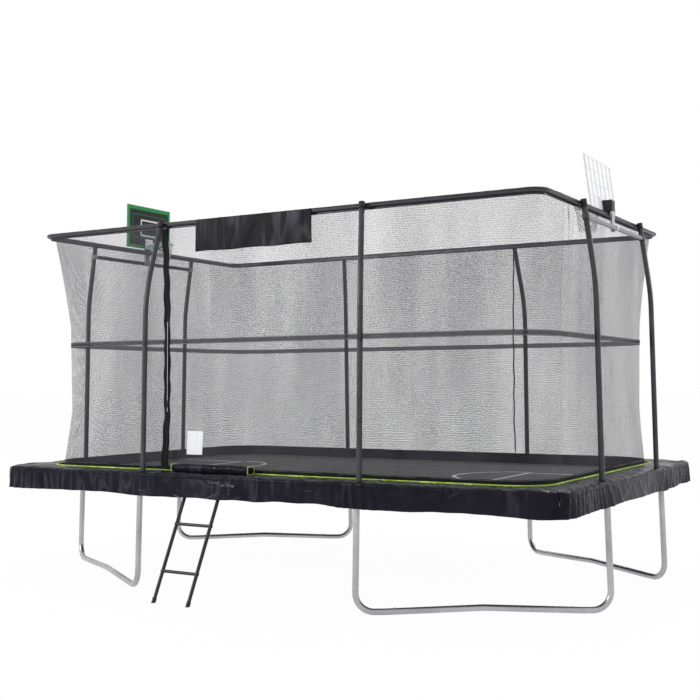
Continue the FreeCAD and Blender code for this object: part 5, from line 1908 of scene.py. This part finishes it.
def frameBoxes(halfY, z0, z1, width, topWidth, d0, d1, number):
    # The four strips of a rectangular frame: low, top, left and right.
    inside = (z0 + width, z1 - topWidth, d0, d1, number)
    low = (-halfY, halfY, z0, z0 + width, d0, d1, number)
    top = (-halfY, halfY, z1 - topWidth, z1, d0, d1, number)
    return [low, top, (-halfY, -halfY + width, *inside), (halfY - width, halfY, *inside)]


def makeBoards():
    s = boardSetup
    face = s["rib"] + s["panel"] + s["filmLift"]
    film, second = face + s["film"], face + 2 * s["film"]
    half, top, gap = s["width"] / 2, s["height"], s["plateHalf"]
    margin, trim = s["margin"], s["edgeTrim"]
    wide = half - margin
    for side in s["sides"]:
        slot = s["sides"][side][3]
        below = (margin, s["plateTop"], face, film, 0)
        boxes = [(-wide, -gap, *below), (gap, wide, *below)]
        boxes.append((-wide, wide, s["plateTop"] + 0.0005, top - margin, face, film, 0))
        border = frameBoxes(wide, margin, top - margin, s["border"], s["topBorder"], film, second, 1)
        low = border.pop(0)
        boxes += [(low[0], -gap, *low[2:]), (gap, low[1], *low[2:])] + border
        inner = frameBoxes(half - 0.062, 0.100, top - 0.074, 0.004, 0.004, film, second, 1)
        target = frameBoxes(0.115, 0.112, 0.262, 0.014, 0.014, film, second, 2)
        finishPiece(boardPanels("boardPrint" + side, side, boxes + inner + target), "frame", None, slot=slot)
        deep = (0.001, face, s["trim"][side])
        edge = [(-half - trim, -half - 0.0001, 0, top, *deep), (half + 0.0001, half + trim, 0, top, *deep)]
        edge.append((-half - trim, half + trim, top + 0.0001, top + trim, *deep))
        finishPiece(boardPanels("boardTrim" + side, side, edge), "frame", None, slot=slot)


def makeBrackets():
    # Moulded shoe between post and board, narrower at its ends.
    s, b = boardSetup, bracketSetup
    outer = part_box("hoop_posts")[1].x + b["clearance"]
    top, bottom, halfWidth, chamfer = b["top"], b["bottom"], b["halfWidth"], b["chamfer"]
    rows = ((-halfWidth, chamfer), (-halfWidth + 0.006, 0.0), (halfWidth - 0.006, 0.0), (halfWidth, chamfer))
    parts = []
    for sign, back, lean, slot in s["sides"].values():
        slope = math.tan(math.radians(lean))
        rim = back - s["rib"] - s["panel"] - b["lip"]
        outline = [(outer, bottom + 0.010), (outer, top - 0.012), (outer - 0.006, top),
                   (back - slope * (top - s["bottom"]), top), (back, s["bottom"]), (rim, s["bottom"]),
                   (rim, bottom), (outer - 0.008, bottom)]
        middle = Vector((sum(p[0] for p in outline), sum(p[1] for p in outline))) / len(outline)

        def place(i, j):
            y, inset = rows[i]
            p = Vector(outline[j])
            p += (middle - p).normalized() * inset
            return Vector((sign * p.x, y + shiftY, p.y))

        part = gridPiece("shoe", 3, len(outline), place, lambda i, j: (i * 0.03, j * 0.02), closedRows=True)
        part.data.shade_flat()
        parts.append(turnOutwards(part, capped=True))
    obj = joinPieces("boardShoes", parts)
    finishPiece(obj, "frame", finishes["black_plastic"], ["board_brackets"], "black_plastic")


def makeHoopNet(side):
    s = hoopSetup
    sign = boardSetup["sides"][side][0]
    centre = Vector((sign * s["centre"], shiftY, 0))
    top = s["height"] - s["wire"] - 0.002
    bottom = top - s["length"] + 0.004

    def knot(level, column):
        t = level / s["levels"]
        turn = 2 * math.pi * (column + 0.5 * (level % 2)) / s["columns"]
        radius = s["radius"] + (s["bottomRadius"] - s["radius"]) * t ** 0.8 - 0.0015
        z = top + (bottom - top) * t + 0.003 * waves(column * 1.7, level * 0.9, sign * 2.0) * t
        return centre + Vector((radius * math.cos(turn), radius * math.sin(turn), z))

    parts = []
    for level in range(s["levels"]):
        for column in range(s["columns"]):
            start = knot(level, column)
            shift = -1 if level % 2 == 0 else 1
            for other in (column, (column + shift) % s["columns"]):
                end = knot(level + 1, other)
                middle = (start + end) / 2 - Vector((0, 0, 0.0012))
                parts.append(tubePiece("cord", [start, middle, end], s["cord"], 5))
    up = Vector((0, 0, 1))
    for c, d in circle(s["columns"]):
        out = Vector((c, d, 0))
        hold = centre + out * s["radius"] + up * s["height"]
        loop = [hold + (out * e + up * f) * (s["wire"] + s["cord"]) for e, f in circle(12)]
        parts.append(tubePiece("loop", loop, s["cord"], 5, closed=True))
    cords = joinPieces("hoopNet" + side, parts)
    finishPiece(cords, "frame", finishes["hoop_cord"], ["hoop_net_" + side.lower()], "hoop_cord")
    bead = bmesh.new()
    bmesh.ops.create_icosphere(bead, subdivisions=1, radius=s["knot"])
    unit = meshFrom("knotUnit", bead)
    unit.data.shade_smooth()
    rows = []
    for level in range(1, s["levels"] + 1):
        points = [knot(level, column) for column in range(s["columns"])]
        rows.append(repeatAlong("knotRow", points, [up] * len(points), s["columns"], unit,
                                finishes["hoop_cord"], closed=True))
    bpy.data.objects.remove(unit)
    finishPiece(joinPieces("hoopKnots" + side, rows), "frame", None, slot="hoop_cord")


makeBoards()
makeBrackets()
makeHoopNet("Right")
makeHoopNet("Left")
print("boards and hoops made")

for unit in (stitchUnit, eyeletUnit):
    bpy.data.objects.remove(unit)
